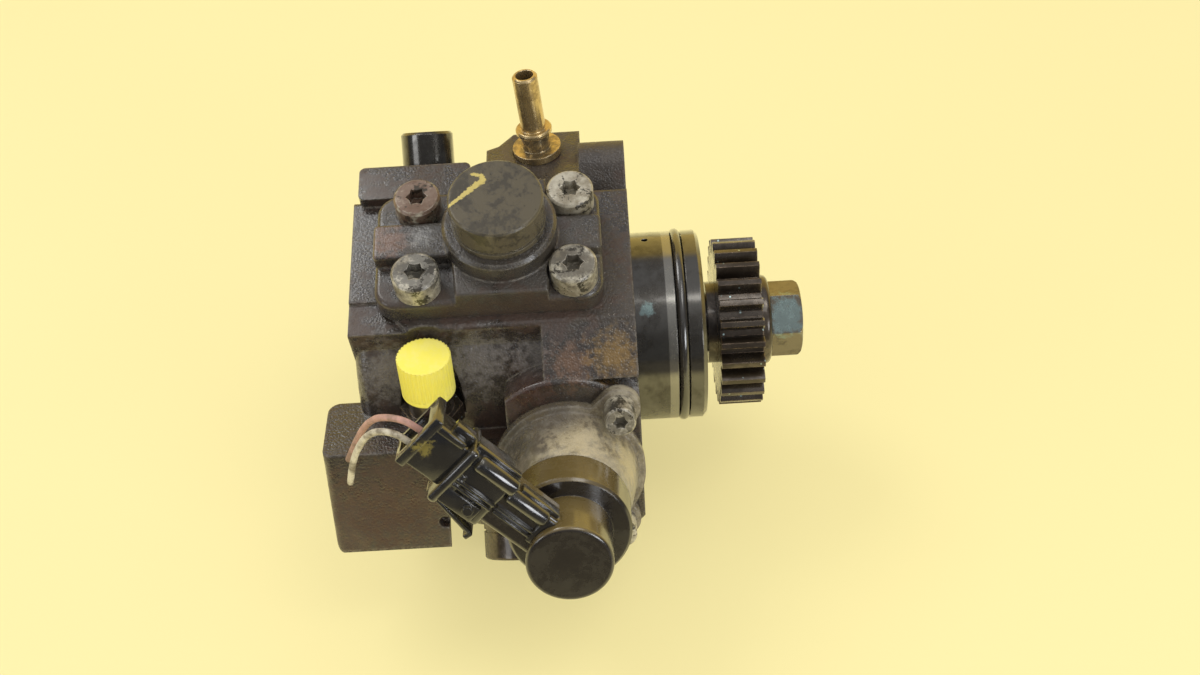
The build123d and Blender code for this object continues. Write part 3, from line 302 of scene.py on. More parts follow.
def connect(tree, shader, color, roughness, height, rounded, metallic, strength, distance):
    """Joins the finish's colour, gloss and relief to the shader; rounded is the softened edges' normal."""
    tree.links.new(color, shader.inputs["Base Color"])
    tree.links.new(roughness, shader.inputs["Roughness"])
    if metallic is not None:
        tree.links.new(metallic, shader.inputs["Metallic"])
    relief = {"Height": height, "Strength": strength, "Distance": distance, "Normal": rounded}
    tree.links.new(add(tree, "ShaderNodeBump", relief).outputs[0], shader.inputs["Normal"])


def faded(tree, mask, share):
    return math_node(tree, "MULTIPLY", mask, share)


def spot(tree, centre, radius, softness=0.4):
    """Mask of a patch; the centre and the radius are in millimetres."""
    place = tuple(value / MM for value in centre)
    return use(tree, SPOT, Centre=place, Radius=radius / MM, Softness=softness)["Mask"]


def rgb(red, green, blue):
    return (red, green, blue, 1.0)


# Finishes

PIT_TONE = rgb(0.016, 0.013, 0.011)
DUST_TONE = rgb(0.13, 0.105, 0.07)
BARE_IRON = rgb(0.36, 0.33, 0.29)
# Tone of the painted glints, tiny teal highlights on dark steel.
GLINT_HIGHLIGHT = rgb(0.45, 0.6, 0.6)
BRUISES = (((-4, -42, 30), 16, 0.7), ((-3, -24, 50), 14, 0.8))
PATCH_SPREAD = 1.2
BAND_BLUR = 0.15


def cast_iron(name, base, oil, rust, grain, patches):
    """Phosphated casting with oil films, rust bloom and rubbed corners; patches are (centre, radius, tint), some of
    them rust stains, some painted sheen and some painted reflection.
    """
    material, tree, shader = new_material(name)
    shader.inputs["Specular IOR Level"].default_value = 0.75
    shader.inputs["Coat Roughness"].default_value = 0.16
    skin = use(tree, CAST, Grain=grain)
    wet = use(tree, GRIME, Scale=30.0, Coverage=0.56, Softness=0.26, Seed=3.1)["Mask"]
    dust = use(tree, GRIME, Scale=120.0, Coverage=0.34, Softness=0.2, Seed=11.0)["Mask"]
    bloom = use(tree, GRIME, Scale=48.0, Coverage=0.36, Softness=0.16, Seed=7.7)["Mask"]
    edges = use(tree, EDGE, Radius=0.0013, Amount=0.8, Scale=520.0)
    color = mix_color(tree, wet, base, oil)
    color = mix_color(tree, faded(tree, dust, 0.16), color, DUST_TONE)
    color = mix_color(tree, faded(tree, bloom, 0.55), color, rust)
    color = mix_color(tree, faded(tree, skin["Speckle"], 0.45), color, PIT_TONE)
    for centre, radius, tint in patches:
        # Patches: rust stains, painted sheen (a lighter grey for glossy highlights) and painted reflection of the
        # yellow table, as each material lists them.
        stain_and_sheen_patch = spot(tree, centre, radius * PATCH_SPREAD, 0.95)
        color = mix_color(tree, faded(tree, stain_and_sheen_patch, 0.8), color, tint)
    bruised = math_node(tree, "MAXIMUM", *(spot(tree, *bruise) for bruise in BRUISES))
    grains = math_node(tree, "MULTIPLY", use(tree, GLINTS, Scale=1350.0, Amount=0.55)["Mask"], bruised)
    bare = math_node(tree, "MAXIMUM", faded(tree, edges["Mask"], 0.75), grains)
    color = mix_color(tree, bare, color, BARE_IRON)
    rough = mix_value(tree, wet, 0.42, 0.2)
    rough = mix_value(tree, bloom, rough, 0.55)
    connect(tree, shader, color, rough, skin["Height"], edges["Rounded"], faded(tree, bare, 0.6), 0.7, 0.0006)
    tree.links.new(faded(tree, wet, 0.8), shader.inputs["Coat Weight"])
    return material


def band(tree, start, end):
    """Mask of a stretch of the shaft's axis, in millimetres."""
    place = add(tree, "ShaderNodeTexCoord").outputs["Object"]
    along = add(tree, "ShaderNodeSeparateXYZ", {0: place}).outputs["X"]
    after = remap(tree, along, (start - BAND_BLUR) / MM, (start + BAND_BLUR) / MM)
    before = remap(tree, along, (end - BAND_BLUR) / MM, (end + BAND_BLUR) / MM, 1.0, 0.0)
    return math_node(tree, "MULTIPLY", after, before)


def dark_steel(
    name, tone, edge_tone, gloss, rings=0.0, dirt=0.45, film=0.5, glints=0.0, patches=(), bands=(), chips=None,
    metal=0.85,
):
    """Machined steel under an oil film, bright where it is rubbed; rings is the relief of its tool marks.

    Bands are (start, end, tint) along the shaft, and chips is (share, tint) of a coat that flakes off. Glints is the
    share of tiny painted teal highlights, and some patches are painted highlights and reflections.
    """
    material, tree, shader = new_material(name)
    stain = use(tree, GRIME, Scale=70.0, Coverage=dirt, Softness=0.32, Seed=5.2)["Mask"]
    edges = use(tree, EDGE, Radius=0.0005, Amount=0.9)
    marks = use(tree, TURNING)["Marks"]
    dull = rgb(tone[0] * 0.45, tone[1] * 0.42, tone[2] * 0.38)
    color = mix_color(tree, stain, tone, dull)
    for start, end, tint in bands:
        color = mix_color(tree, faded(tree, band(tree, start, end), 0.8), color, tint)
    # Patches: stains, and on the drum and nut a painted highlight and a painted reflection.
    for centre, radius, tint in patches:
        color = mix_color(tree, faded(tree, spot(tree, centre, radius, 0.5), 0.8), color, tint)
    color = mix_color(tree, edges["Mask"], color, edge_tone)
    if chips:
        flaked = use(tree, GRIME, Scale=210.0, Coverage=chips[0], Softness=0.035, Seed=1.3)["Mask"]
        color = mix_color(tree, faded(tree, flaked, 0.9), color, chips[1])
    if glints:
        # Painted glints: tiny teal highlights scattered over the steel.
        painted_glint = use(tree, GLINTS, Scale=700.0, Amount=glints)["Mask"]
        color = mix_color(tree, painted_glint, color, GLINT_HIGHLIGHT)
    rough = mix_value(tree, stain, gloss, gloss + 0.2)
    rough = mix_value(tree, faded(tree, marks, 0.35), rough, gloss + 0.2)
    shader.inputs["Metallic"].default_value = metal
    shader.inputs["Coat Weight"].default_value = film
    shader.inputs["Coat Roughness"].default_value = 0.12
    connect(tree, shader, color, rough, marks, edges["Rounded"], None, rings, 0.00012)
    return material


def upward_reflection_mask(tree):
    """Mask of the sides that face up and back, which get a painted reflection of the yellow table."""
    normal = add(tree, "ShaderNodeNewGeometry").outputs["Normal"]
    lean = add(tree, "ShaderNodeVectorMath", {0: normal, 1: (0.0, 0.26, 0.97)}, operation="DOT_PRODUCT")
    return remap(tree, lean.outputs["Value"], 0.3, 0.85)


def plastic(name, tone, dusty, gloss, dust=0.3, film=0.0, patches=(), up_reflection=None):
    """Moulded plastic with a fine bloom of dust and scuffed corners; the tint for what faces up is a painted
    reflection of the yellow table.
    """
    material, tree, shader = new_material(name)
    haze = use(tree, GRIME, Scale=85.0, Coverage=0.4, Softness=0.3, Seed=9.4)["Mask"]
    edges = use(tree, EDGE, Radius=0.0007, Amount=0.5)
    place = add(tree, "ShaderNodeTexCoord").outputs["Object"]
    grain = noise(tree, place, 2200.0, 2.0)
    scratches = remap(tree, noise(tree, place, 260.0, 8.0, 0.75, 3.0), 0.56, 0.6)
    color = mix_color(tree, faded(tree, haze, dust), tone, dusty)
    color = mix_color(tree, faded(tree, scratches, dust * 0.5), color, dusty)
    if up_reflection:
        # Painted reflection of the yellow table on the sides that face up.
        color = mix_color(tree, faded(tree, upward_reflection_mask(tree), 0.85), color, up_reflection)
    for centre, radius, tint in patches:
        color = mix_color(tree, faded(tree, spot(tree, centre, radius, 0.5), 0.8), color, tint)
    color = mix_color(tree, faded(tree, edges["Mask"], dust), color, dusty)
    rough = mix_value(tree, haze, gloss, gloss + 0.16)
    shader.inputs["Specular IOR Level"].default_value = 0.5 + 0.5 * film
    shader.inputs["Coat Weight"].default_value = film
    shader.inputs["Coat Roughness"].default_value = 0.12
    connect(tree, shader, color, rough, grain, edges["Rounded"], None, 0.1, 0.0001)
    return material


def painted_plug():
    """Top plug of the upper head: olive, speckled, with a dab of the assembler's yellow paint."""
    material, tree, shader = new_material("marked_plug")
    edges = use(tree, EDGE, Radius=0.0006, Amount=0.8)
    worn = use(tree, GRIME, Scale=150.0, Coverage=0.42, Softness=0.16, Seed=2.3)["Mask"]
    flecks = use(tree, GLINTS, Scale=900.0, Amount=0.22)["Mask"]
    marks = use(tree, TURNING)["Marks"]
    color = mix_color(tree, worn, rgb(0.094, 0.081, 0.056), rgb(0.045, 0.039, 0.029))
    color = mix_color(tree, faded(tree, flecks, 0.8), color, rgb(0.018, 0.016, 0.013))
    color = mix_color(tree, edges["Mask"], color, rgb(0.3, 0.27, 0.2))
    strokes = (
        ((-0.0533, -0.0217, 0.0718), (-0.0434, -0.0131, 0.0741), 0.0005, 0.0012),
        ((-0.0434, -0.0131, 0.0741), (-0.0437, -0.0113, 0.0746), 0.0011, 0.0008),
        ((-0.0437, -0.0113, 0.0746), (-0.0466, -0.0106, 0.0748), 0.0007, 0.0005),
    )
    paint = 0.0
    for start, end, thin, thick in strokes:
        dab = use(tree, STROKE, From=start, To=end, Thin=thin, Thick=thick)["Mask"]
        paint = math_node(tree, "MAXIMUM", paint, dab)
    color = mix_color(tree, paint, color, rgb(0.5, 0.41, 0.13))
    rough = mix_value(tree, worn, 0.24, 0.4)
    connect(tree, shader, color, rough, marks, edges["Rounded"], faded(tree, edges["Mask"], 0.8), 0.15, 0.0001)
    return material


RUST = rgb(0.12, 0.055, 0.035)
# Painted sheen: a light grey tint standing in for the broad glossy highlights on the housing's rounded underside.
PAINTED_SHEEN = rgb(0.17, 0.157, 0.155)
HOUSING_IRON = cast_iron(
    "housing_casting", rgb(0.062, 0.049, 0.041), rgb(0.03, 0.023, 0.019), rgb(0.085, 0.036, 0.02), 1300,
    (((-80, -58, -16), 24, rgb(0.07, 0.03, 0.017)), ((-35, -46, 22), 12, rgb(0.06, 0.027, 0.018)),
     # These two brown and orange patches on the boss face are a painted reflection of the yellow table.
     ((-20, -45, 27), 8, rgb(0.13, 0.07, 0.04)), ((-7, -44, 28), 9, rgb(0.2, 0.12, 0.03)),
     # The last three patches are painted sheen on the underside.
     ((-78, -37, 21), 12, PAINTED_SHEEN), ((-49, -36.5, 23), 13, PAINTED_SHEEN), ((-30, -36, 23), 9, PAINTED_SHEEN)),
)
HEAD_IRON = cast_iron(
    "head_casting", rgb(0.064, 0.056, 0.049), rgb(0.034, 0.03, 0.027), rgb(0.07, 0.034, 0.02), 1600,
    # The grey patch on the head's arm is painted sheen; the brown one is rust.
    (((-75, -14, 54), 8, rgb(0.14, 0.07, 0.045)), ((-64, -14, 56), 5, rgb(0.2, 0.2, 0.2))),
)
DRUM_STEEL = dark_steel(
    "drum_steel", rgb(0.115, 0.11, 0.1), rgb(0.45, 0.43, 0.4), 0.1, rings=0.08, dirt=0.4, film=1.0,
    # Painted highlight: a small teal strip on the drum's upper side standing in for the reflection of a cool light.
    patches=(((4, -19.7, 25.2), 3, rgb(0.24, 0.34, 0.34)),),
    bands=((10.5, 13.2, rgb(0.34, 0.33, 0.3)),),
)
GEAR_STEEL = dark_steel(
    "gear_steel", rgb(0.12, 0.098, 0.078), rgb(0.42, 0.31, 0.21), 0.2, dirt=0.5, film=0.8, glints=0.05
)
NUT_STEEL = dark_steel(
    "nut_steel", rgb(0.2, 0.17, 0.125), rgb(0.5, 0.5, 0.47), 0.16, dirt=0.36, film=0.9,
    # Painted reflection: a teal-grey patch on the nut's middle flat standing in for a cool reflection.
    patches=(((50.5, -7.6, 8), 8.5, rgb(0.26, 0.36, 0.36)),),
)
SCREW_STEEL = dark_steel(
    "screw_steel", rgb(0.56, 0.53, 0.45), rgb(0.7, 0.67, 0.6), 0.34, film=0.3,
    patches=(
        ((-65.9, -1.5, 60.5), 13, RUST), ((-64.6, -29.5, 55.5), 10.5, rgb(0.085, 0.083, 0.08)),
        ((-17.2, -29.5, 55.5), 10, rgb(0.11, 0.1, 0.085)), ((-6.5, -59.9, 18.1), 8.5, rgb(0.12, 0.105, 0.08)),
    ),
    chips=(0.3, rgb(0.03, 0.026, 0.02)), metal=0.35,
)
INNER_STEEL = dark_steel("inner_steel", rgb(0.55, 0.54, 0.52), rgb(0.7, 0.7, 0.68), 0.25)
BRONZE = dark_steel(
    "bronze", rgb(0.66, 0.5, 0.25), rgb(0.85, 0.72, 0.48), 0.2, dirt=0.35, film=0.3,
    patches=(((-30.3, 35.5, 73.5), 3.8, rgb(0.1, 0.06, 0.035)), ((-28.6, 35.5, 50), 9, rgb(0.24, 0.2, 0.14))),
)
VALVE_METAL = cast_iron(
    "valve_casting", rgb(0.5, 0.45, 0.35), rgb(0.17, 0.14, 0.095), rgb(0.09, 0.065, 0.04), 2200,
    # Lighter patches in the middle and at the front of the valve neck, darker ones at its left and top.
    (((-20, -68, 17), 12, rgb(0.56, 0.48, 0.32)), ((-40, -62, 10), 12, rgb(0.07, 0.065, 0.06)),
     ((-24, -58, 20), 8, rgb(0.1, 0.09, 0.08)), ((-4, -68, 6), 9, rgb(0.5, 0.42, 0.24))),
)
COPPER = dark_steel("coil_copper", rgb(0.55, 0.25, 0.12), rgb(0.7, 0.4, 0.2), 0.35)
BLACK_PLASTIC = plastic(
    "black_plastic", rgb(0.011, 0.0085, 0.0075), rgb(0.06, 0.05, 0.042), 0.2, 0.12, 0.7,
    # Yellow painted reflection on the sides of the black plastic that face up.
    up_reflection=rgb(0.16, 0.115, 0.038),
)
PLUG_PLASTIC = plastic(
    "plug_plastic", rgb(0.008, 0.008, 0.009), rgb(0.05, 0.05, 0.052), 0.11, 0.06, 0.9,
    (((-60.5, -92.5, 45.5), 3.6, rgb(0.22, 0.18, 0.04)),), rgb(0.05, 0.042, 0.022),
)
CAP_PLASTIC = plastic("cap_plastic", rgb(0.98, 0.89, 0.14), rgb(0.96, 0.88, 0.4), 0.4, 0.3)
RUBBER = plastic("seal_rubber", rgb(0.018, 0.016, 0.014), rgb(0.05, 0.045, 0.038), 0.16, 0.15, 1.0)
PINK = plastic("pink_insulation", rgb(0.52, 0.3, 0.26), rgb(0.22, 0.15, 0.11), 0.5, 0.8)
WHITE = plastic("white_insulation", rgb(0.6, 0.56, 0.46), rgb(0.16, 0.13, 0.09), 0.5, 0.9)
MARKED_PLUG = painted_plug()

SLOT_FINISH = {
    "cast_housing": HOUSING_IRON,
    "cast_heads": HEAD_IRON,
    "ground_steel": DRUM_STEEL,
    "dark_steel": GEAR_STEEL,
    "screw_steel": SCREW_STEEL,
    "inner_steel": INNER_STEEL,
    "bronze": BRONZE,
    "valve_casting": VALVE_METAL,
    "coil_copper": COPPER,
    "black_plastic": BLACK_PLASTIC,
    "seal_rubber": RUBBER,
    "cap_plastic": CAP_PLASTIC,
    "pink_insulation": PINK,
    "white_insulation": WHITE,
}
SLOT_OF = {entry["node"]: entry["material_slot"] for entry in frame["record"]["subparts"]}
for entry in frame["record"]["subparts"]:
    for material_slot in nodes[entry["node"]].material_slots:
        material_slot.material = SLOT_FINISH[entry["material_slot"]]
nodes["head_plug_1"].material_slots[0].material = MARKED_PLUG


# Cut wires of the connector

WIRE_DIAMETER = 0.002
PINK_ROUTE = (
    (-0.06048, -0.08826, 0.0454), (-0.06359, -0.08745, 0.04841), (-0.06748, -0.08598, 0.04926),
    (-0.07144, -0.0842, 0.04819), (-0.07483, -0.0815, 0.04513), (-0.07879, -0.07876, 0.03912),
    (-0.0824, -0.077, 0.0314), (-0.08593, -0.07563, 0.02298),
)
WHITE_ROUTE = (
    (-0.06401, -0.08917, 0.04199), (-0.06712, -0.08837, 0.04499), (-0.07087, -0.08701, 0.04543),
    (-0.07455, -0.08517, 0.04377), (-0.07794, -0.08366, 0.04014), (-0.08134, -0.08269, 0.03373),
    (-0.08402, -0.08146, 0.02594), (-0.08586, -0.07961, 0.01739),
)


def cut_wire(name, route, node, finish):
    """A wire that leaves the connector's rear and ends cut off."""
    curve = bpy.data.curves.new(name, "CURVE")
    curve.dimensions = "3D"
    curve.bevel_depth = WIRE_DIAMETER / 2
    curve.bevel_resolution = 4
    curve.resolution_u = 16
    curve.use_fill_caps = True
    line = curve.splines.new("NURBS")
    line.points.add(len(route) - 1)
    for point, place in zip(line.points, route):
        point.co = (*place, 1.0)
    line.order_u = 3
    line.use_endpoint_u = True
    curve.materials.append(finish)
    wire = bpy.data.objects.new(name, curve)
    scene.collection.objects.link(wire)
    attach(wire, "plug")
    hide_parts(node)


cut_wire("pink_wire", PINK_ROUTE, "wire_pink", PINK)
cut_wire("white_wire", WHITE_ROUTE, "wire_white", WHITE)


# Modelling helpers


def clear_selection():
    for chosen in bpy.context.selected_objects:
        chosen.select_set(False)


def select_edges(mesh, test):
    """Selects the edges whose two ends both pass the test, in a mesh that is open in edit mode."""
    sketch = bmesh.from_edit_mesh(mesh)
    bpy.ops.mesh.select_mode(type="EDGE")
    bpy.ops.mesh.select_all(action="DESELECT")
    for edge in sketch.edges:
        if all(test(vertex.co) for vertex in edge.verts):
            edge.select = True
    bmesh.update_edit_mesh(mesh)


def select_faces(mesh, test):
    """Selects the faces whose centre and normal pass the test."""
    sketch = bmesh.from_edit_mesh(mesh)
    bpy.ops.mesh.select_mode(type="FACE")
    bpy.ops.mesh.select_all(action="DESELECT")
    for face in sketch.faces:
        if test(face.calc_center_median(), face.normal):
            face.select = True
    bmesh.update_edit_mesh(mesh)


def block(low, high, bevel, segments=2):
    """A box between two corners, in millimetres, with rounded edges; left as the active object."""
    clear_selection()
    middle = [(a + b) / (2 * MM) for a, b in zip(low, high)]
    bpy.ops.mesh.primitive_cube_add(size=1.0, location=middle)
    piece = bpy.context.active_object
    piece.scale = [(b - a) / MM for a, b in zip(low, high)]
    bpy.ops.object.transform_apply(location=True, rotation=True, scale=True)
    bpy.ops.object.mode_set(mode="EDIT")
    bpy.ops.mesh.select_all(action="SELECT")
    bpy.ops.mesh.bevel(offset=bevel / MM, segments=segments, affect="EDGES")
    bpy.ops.object.mode_set(mode="OBJECT")
    return piece


def bar(place, radius, start, end):
    """A rounded bar along Z, in millimetres, with softened ends."""
    clear_selection()
    bpy.ops.mesh.primitive_cylinder_add(
        vertices=32, radius=radius / MM, depth=(end - start) / MM,
        location=(place[0] / MM, place[1] / MM, (start + end) / (2 * MM)),
    )
    piece = bpy.context.active_object
    bpy.ops.object.transform_apply(location=True, rotation=True, scale=True)
    bpy.ops.object.mode_set(mode="EDIT")
    select_faces(piece.data, lambda centre, normal: abs(normal.z) > 0.9)
    bpy.ops.mesh.bevel(offset=radius / (2.5 * MM), segments=3, affect="EDGES")
    bpy.ops.object.mode_set(mode="OBJECT")
    return piece


def bar_across(place, radius, depth):
    """A short round tool along X, in millimetres."""
    clear_selection()
    bpy.ops.mesh.primitive_cylinder_add(
        vertices=24, radius=radius / MM, depth=depth / MM, location=[value / MM for value in place],
        rotation=(0.0, QUARTER_TURN, 0.0),
    )
    bpy.ops.object.transform_apply(location=True, rotation=True, scale=True)
    return bpy.context.active_object


def joined(name, pieces):
    """Joins several pieces into one object."""
    clear_selection()
    for piece in pieces:
        piece.select_set(True)
    bpy.context.view_layer.objects.active = pieces[0]
    bpy.ops.object.join()
    whole = bpy.context.active_object
    whole.name = name
    return whole


def cut(piece, tool, operation="DIFFERENCE"):
    """Cuts a piece with a tool, or keeps what they share, and removes the tool."""
    clear_selection()
    piece.select_set(True)
    bpy.context.view_layer.objects.active = piece
    carve = piece.modifiers.new("carve", "BOOLEAN")
    carve.operation = operation
    carve.solver = "EXACT"
    carve.object = tool
    bpy.ops.object.modifier_apply(modifier=carve.name)
    bpy.data.objects.remove(tool)


def settle(piece, frame_matrix, body, finish, angle=30):
    """Moves a piece's mesh from its own frame to its place, and gives it its finish and its body."""
    clear_selection()
    piece.select_set(True)
    bpy.context.view_layer.objects.active = piece
    piece.matrix_world = frame_matrix
    bpy.ops.object.transform_apply(location=True, rotation=True, scale=True)
    bpy.ops.object.shade_smooth_by_angle(angle=radians(angle))
    piece.data.materials.clear()
    piece.data.materials.append(finish)
    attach(piece, body)


# Connector, modelled along its own axis: Z away from the valve, -X outward, +Y towards the lower rear

VALVE_LEAN = radians(75)
VALVE_PLACE = (-0.023, -0.020, 0.0)
CONNECTOR_HEIGHT = 0.0972
CONNECTOR_TURN = radians(135)
QUARTER_TURN = radians(90)
WIRE_WELL = ((-3.9, -8.0, 56.3), (4.4, 4.6, 60.0), 0.6)
LATCH_PIVOT = (0.0, 0.0099, 0.044)
LATCH_LEAN = radians(12)

VALVE = Matrix.Rotation(VALVE_LEAN, 4, "X") @ Matrix.Translation(VALVE_PLACE)
CONNECTOR = (
    VALVE @ Matrix.Translation((0.0, 0.0, CONNECTOR_HEIGHT)) @ Matrix.Rotation(CONNECTOR_TURN, 4, "Z")
    @ Matrix.Rotation(QUARTER_TURN, 4, "Y")
)


def plug_shroud():
    """Front half of the plug, hollow where it goes over the socket, with a hole in its latch pad."""
    shroud = block((-5.9, -9.6, 27.4), (6.6, 9.2, 43.0), 1.3, 3)
    cut(shroud, block((-5.15, -7.6, 20.0), (5.3, 7.5, 39.0), 0.4))
    pad = block((-6.8, 3.0, 30.0), (-4.9, 8.4, 42.0), 0.4)
    shroud = joined("plug_shroud", [shroud, pad])
    cut(shroud, bar_across((-6.0, 5.3, 33.0), 1.5, 4.0))
    return shroud


def plug_rear():
    """Narrower rear half: leaning lower side, and an end frame open to the wires."""
    rear = block((-5.0, -8.8, 42.5), (5.6, 5.8, 57.0), 0.9)
    end_frame = block((-6.4, -11.6, 54.9), (6.4, 6.6, 57.9), 0.7)
    cut(end_frame, block(*WIRE_WELL))
    cut(rear, block(*WIRE_WELL))
    strap = block((-5.9, -10.1, 46.0), (-2.6, -8.0, 56.0), 0.5)
    ledge = block((-0.5, 4.8, 44.0), (5.0, 8.0, 54.5), 1.4)
    return joined("plug_rear", [rear, end_frame, strap, ledge])


def plug_trim():
    """Collar, rounded bar, twin ribs, upper clip with its lever, and the lower latch with its hook."""
    collar = block((-7.1, -10.5, 41.2), (7.2, 10.1, 44.2), 1.2, 3)
    round_bar = bar((-5.6, -8.0), 2.6, 26.8, 40.6)
    trim = [collar, round_bar]
    for rib_y in (-0.3, 1.5):
        trim.append(block((-7.0, rib_y - 0.45, 28.2), (-5.2, rib_y + 0.45, 41.6), 0.25))
    trim.append(block((-6.6, -2.6, 39.4), (-5.0, 8.6, 41.8), 0.6))
    trim.append(block((-3.4, -12.2, 44.4), (0.8, -8.4, 51.0), 0.5))
    trim.append(block((-4.4, -11.6, 27.6), (-1.4, -10.4, 43.0), 0.35))
    trim.append(block((-4.4, -10.6, 27.6), (-3.4, -9.2, 43.0), 0.3))
    lever = block((-2.6, 9.2, 25.2), (3.4, 10.6, 44.0), 0.5)
    hook = block((-2.6, 9.4, 24.4), (3.4, 12.0, 26.0), 0.4)
    latch = joined("latch", [lever, hook])
    pivot = Matrix.Translation(LATCH_PIVOT)
    latch.matrix_world = pivot @ Matrix.Rotation(LATCH_LEAN, 4, "X") @ pivot.inverted()
    bpy.ops.object.transform_apply(location=True, rotation=True, scale=True)
    trim.append(latch)
    return joined("plug_trim", trim)


def socket_trim():
    """Rounded bar, twin ribs and a wedge on the socket's outer face."""
    trim = [bar((-4.6, -5.2), 2.5, 13.5, 27.2)]
    for rib_y in (0.0, 1.8):
        trim.append(block((-6.0, rib_y - 0.4, 14.0), (-4.6, rib_y + 0.4, 27.0), 0.25))
    trim.append(block((-5.8, -6.6, 10.4), (-4.4, 3.4, 14.2), 0.5))
    trim.append(block((-4.0, -8.4, 11.0), (0.0, -6.6, 24.5), 0.5))
    return joined("socket_trim", trim)


plug_pieces = [plug_shroud(), plug_rear(), plug_trim()]
for plug_piece in plug_pieces:
    settle(plug_piece, CONNECTOR, "plug", PLUG_PLASTIC)
    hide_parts("connector_plug")
settle(socket_trim(), CONNECTOR, "housing", PLUG_PLASTIC)


# Shaft nut, domed washer and seals

ALONG_SHAFT = Matrix.Rotation(QUARTER_TURN, 4, "Y")
WASHER_R = 0.015
NUT_ACROSS_FLATS = 0.022
NUT_TURN = radians(-18)
PILOT_SEAL_X = 0.0153
VALVE_SEAL_HEIGHT = 0.050
END_REACH = 0.0001


def shaft_span(node):
    """Where a node starts and ends along the shaft, in millimetres."""
    low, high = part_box(node)
    return low[0] * MM, high[0] * MM


def domed_washer():
    """Washer with a rounded rim and a shallow recess round the nut."""
    start, end = shaft_span("gear_washer")
    clear_selection()
    bpy.ops.mesh.primitive_cylinder_add(
        vertices=96, radius=WASHER_R, depth=(end - start) / MM, location=(0, 0, (start + end) / (2 * MM))
    )
    washer = bpy.context.active_object
    washer.name = "domed_washer"
    bpy.ops.object.transform_apply(location=True, rotation=True, scale=True)
    bpy.ops.object.mode_set(mode="EDIT")
    select_faces(washer.data, lambda centre, normal: normal.z > 0.9)
    bpy.ops.mesh.inset(thickness=0.0024, depth=0.0)
    bpy.ops.mesh.extrude_region_move(TRANSFORM_OT_translate={"value": (0.0, 0.0, -0.0009)})
    select_edges(washer.data, lambda place: place.z > end / MM - END_REACH and place.xy.length > 0.0148)
    bpy.ops.mesh.bevel(offset=0.0018, segments=6, affect="EDGES")
    bpy.ops.object.mode_set(mode="OBJECT")
    settle(washer, ALONG_SHAFT, "shaft", GEAR_STEEL, 40)
    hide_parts("gear_washer")


def chamfered_nut():
    """Hexagon nut whose outer corners are turned off."""
    start, end = shaft_span("shaft_nut")
    thickness, middle = (end - start) / MM, (0, 0, (start + end) / (2 * MM))
    clear_selection()
    bpy.ops.mesh.primitive_cylinder_add(
        vertices=6, radius=NUT_ACROSS_FLATS / 3 ** 0.5, depth=thickness, location=middle
    )
    nut = bpy.context.active_object
    nut.name = "chamfered_nut"
    bpy.ops.object.transform_apply(location=True, rotation=True, scale=True)
    bpy.ops.mesh.primitive_cylinder_add(
        vertices=96, radius=NUT_ACROSS_FLATS * 0.585, depth=thickness, location=middle
    )
    turned = bpy.context.active_object
    bpy.ops.object.transform_apply(location=True, rotation=True, scale=True)
    bpy.ops.object.mode_set(mode="EDIT")
    select_edges(turned.data, lambda place: place.z > end / MM - END_REACH)
    bpy.ops.mesh.bevel(offset=0.0022, segments=3, affect="EDGES")
    bpy.ops.object.mode_set(mode="OBJECT")
    cut(nut, turned, "INTERSECT")
    soften = nut.modifiers.new("soften", "BEVEL")
    soften.width = 0.0003
    soften.segments = 2
    soften.limit_method = "ANGLE"
    soften.angle_limit = radians(35)
    bpy.ops.object.modifier_apply(modifier=soften.name)
    settle(nut, Matrix.Rotation(NUT_TURN, 4, "X") @ ALONG_SHAFT, "shaft", NUT_STEEL, 25)
    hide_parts("shaft_nut")


def seal(name, frame_matrix, middle, thickness):
    """A rubber O-ring, slightly proud of its groove; its middle radius and its thickness are in metres."""
    clear_selection()
    bpy.ops.mesh.primitive_torus_add(
        major_segments=144, minor_segments=16, major_radius=middle, minor_radius=thickness / 2
    )
    ring = bpy.context.active_object
    ring.name = name
    settle(ring, frame_matrix, "housing", RUBBER, 60)
    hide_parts("o_rings")


domed_washer()
chamfered_nut()
seal("pilot_seal", Matrix.Translation((PILOT_SEAL_X, 0.0, 0.0)) @ ALONG_SHAFT, 0.03055, 0.0035)
seal("valve_seal", VALVE @ Matrix.Translation((0.0, 0.0, VALVE_SEAL_HEIGHT)), 0.0077, 0.0016)


# Springs

SPRING_TURNS = 3
STEPS_PER_TURN = 28
OVERFLOW_LEAN = radians(-35)
OVERFLOW_PLACE = (-0.065, 0.0, 0.0)


def compression_spring(name, node, frame_matrix, start, end, mean, wire):
    """Round wire wound between two heights, in millimetres."""
    clear_selection()
    bpy.ops.mesh.primitive_circle_add(
        vertices=12, radius=wire / MM, location=(mean / MM, 0, (start + wire) / MM), rotation=(QUARTER_TURN, 0, 0)
    )
    spring = bpy.context.active_object
    spring.name = name
    bpy.ops.object.transform_apply(location=True, rotation=True, scale=True)
    winding = spring.modifiers.new("winding", "SCREW")
    winding.axis = "Z"
    winding.screw_offset = (end - start - 2 * wire) / SPRING_TURNS / MM
    winding.iterations = SPRING_TURNS
    winding.steps = STEPS_PER_TURN
    winding.render_steps = STEPS_PER_TURN
    bpy.ops.object.modifier_apply(modifier=winding.name)
    bpy.ops.object.mode_set(mode="EDIT")
    bpy.ops.mesh.select_all(action="SELECT")
    bpy.ops.mesh.fill_holes(sides=0)
    bpy.ops.mesh.normals_make_consistent(inside=False)
    bpy.ops.object.mode_set(mode="OBJECT")
    settle(spring, frame_matrix, "housing", SLOT_FINISH[SLOT_OF[node]], 60)
    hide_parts(node)
    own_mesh(spring)


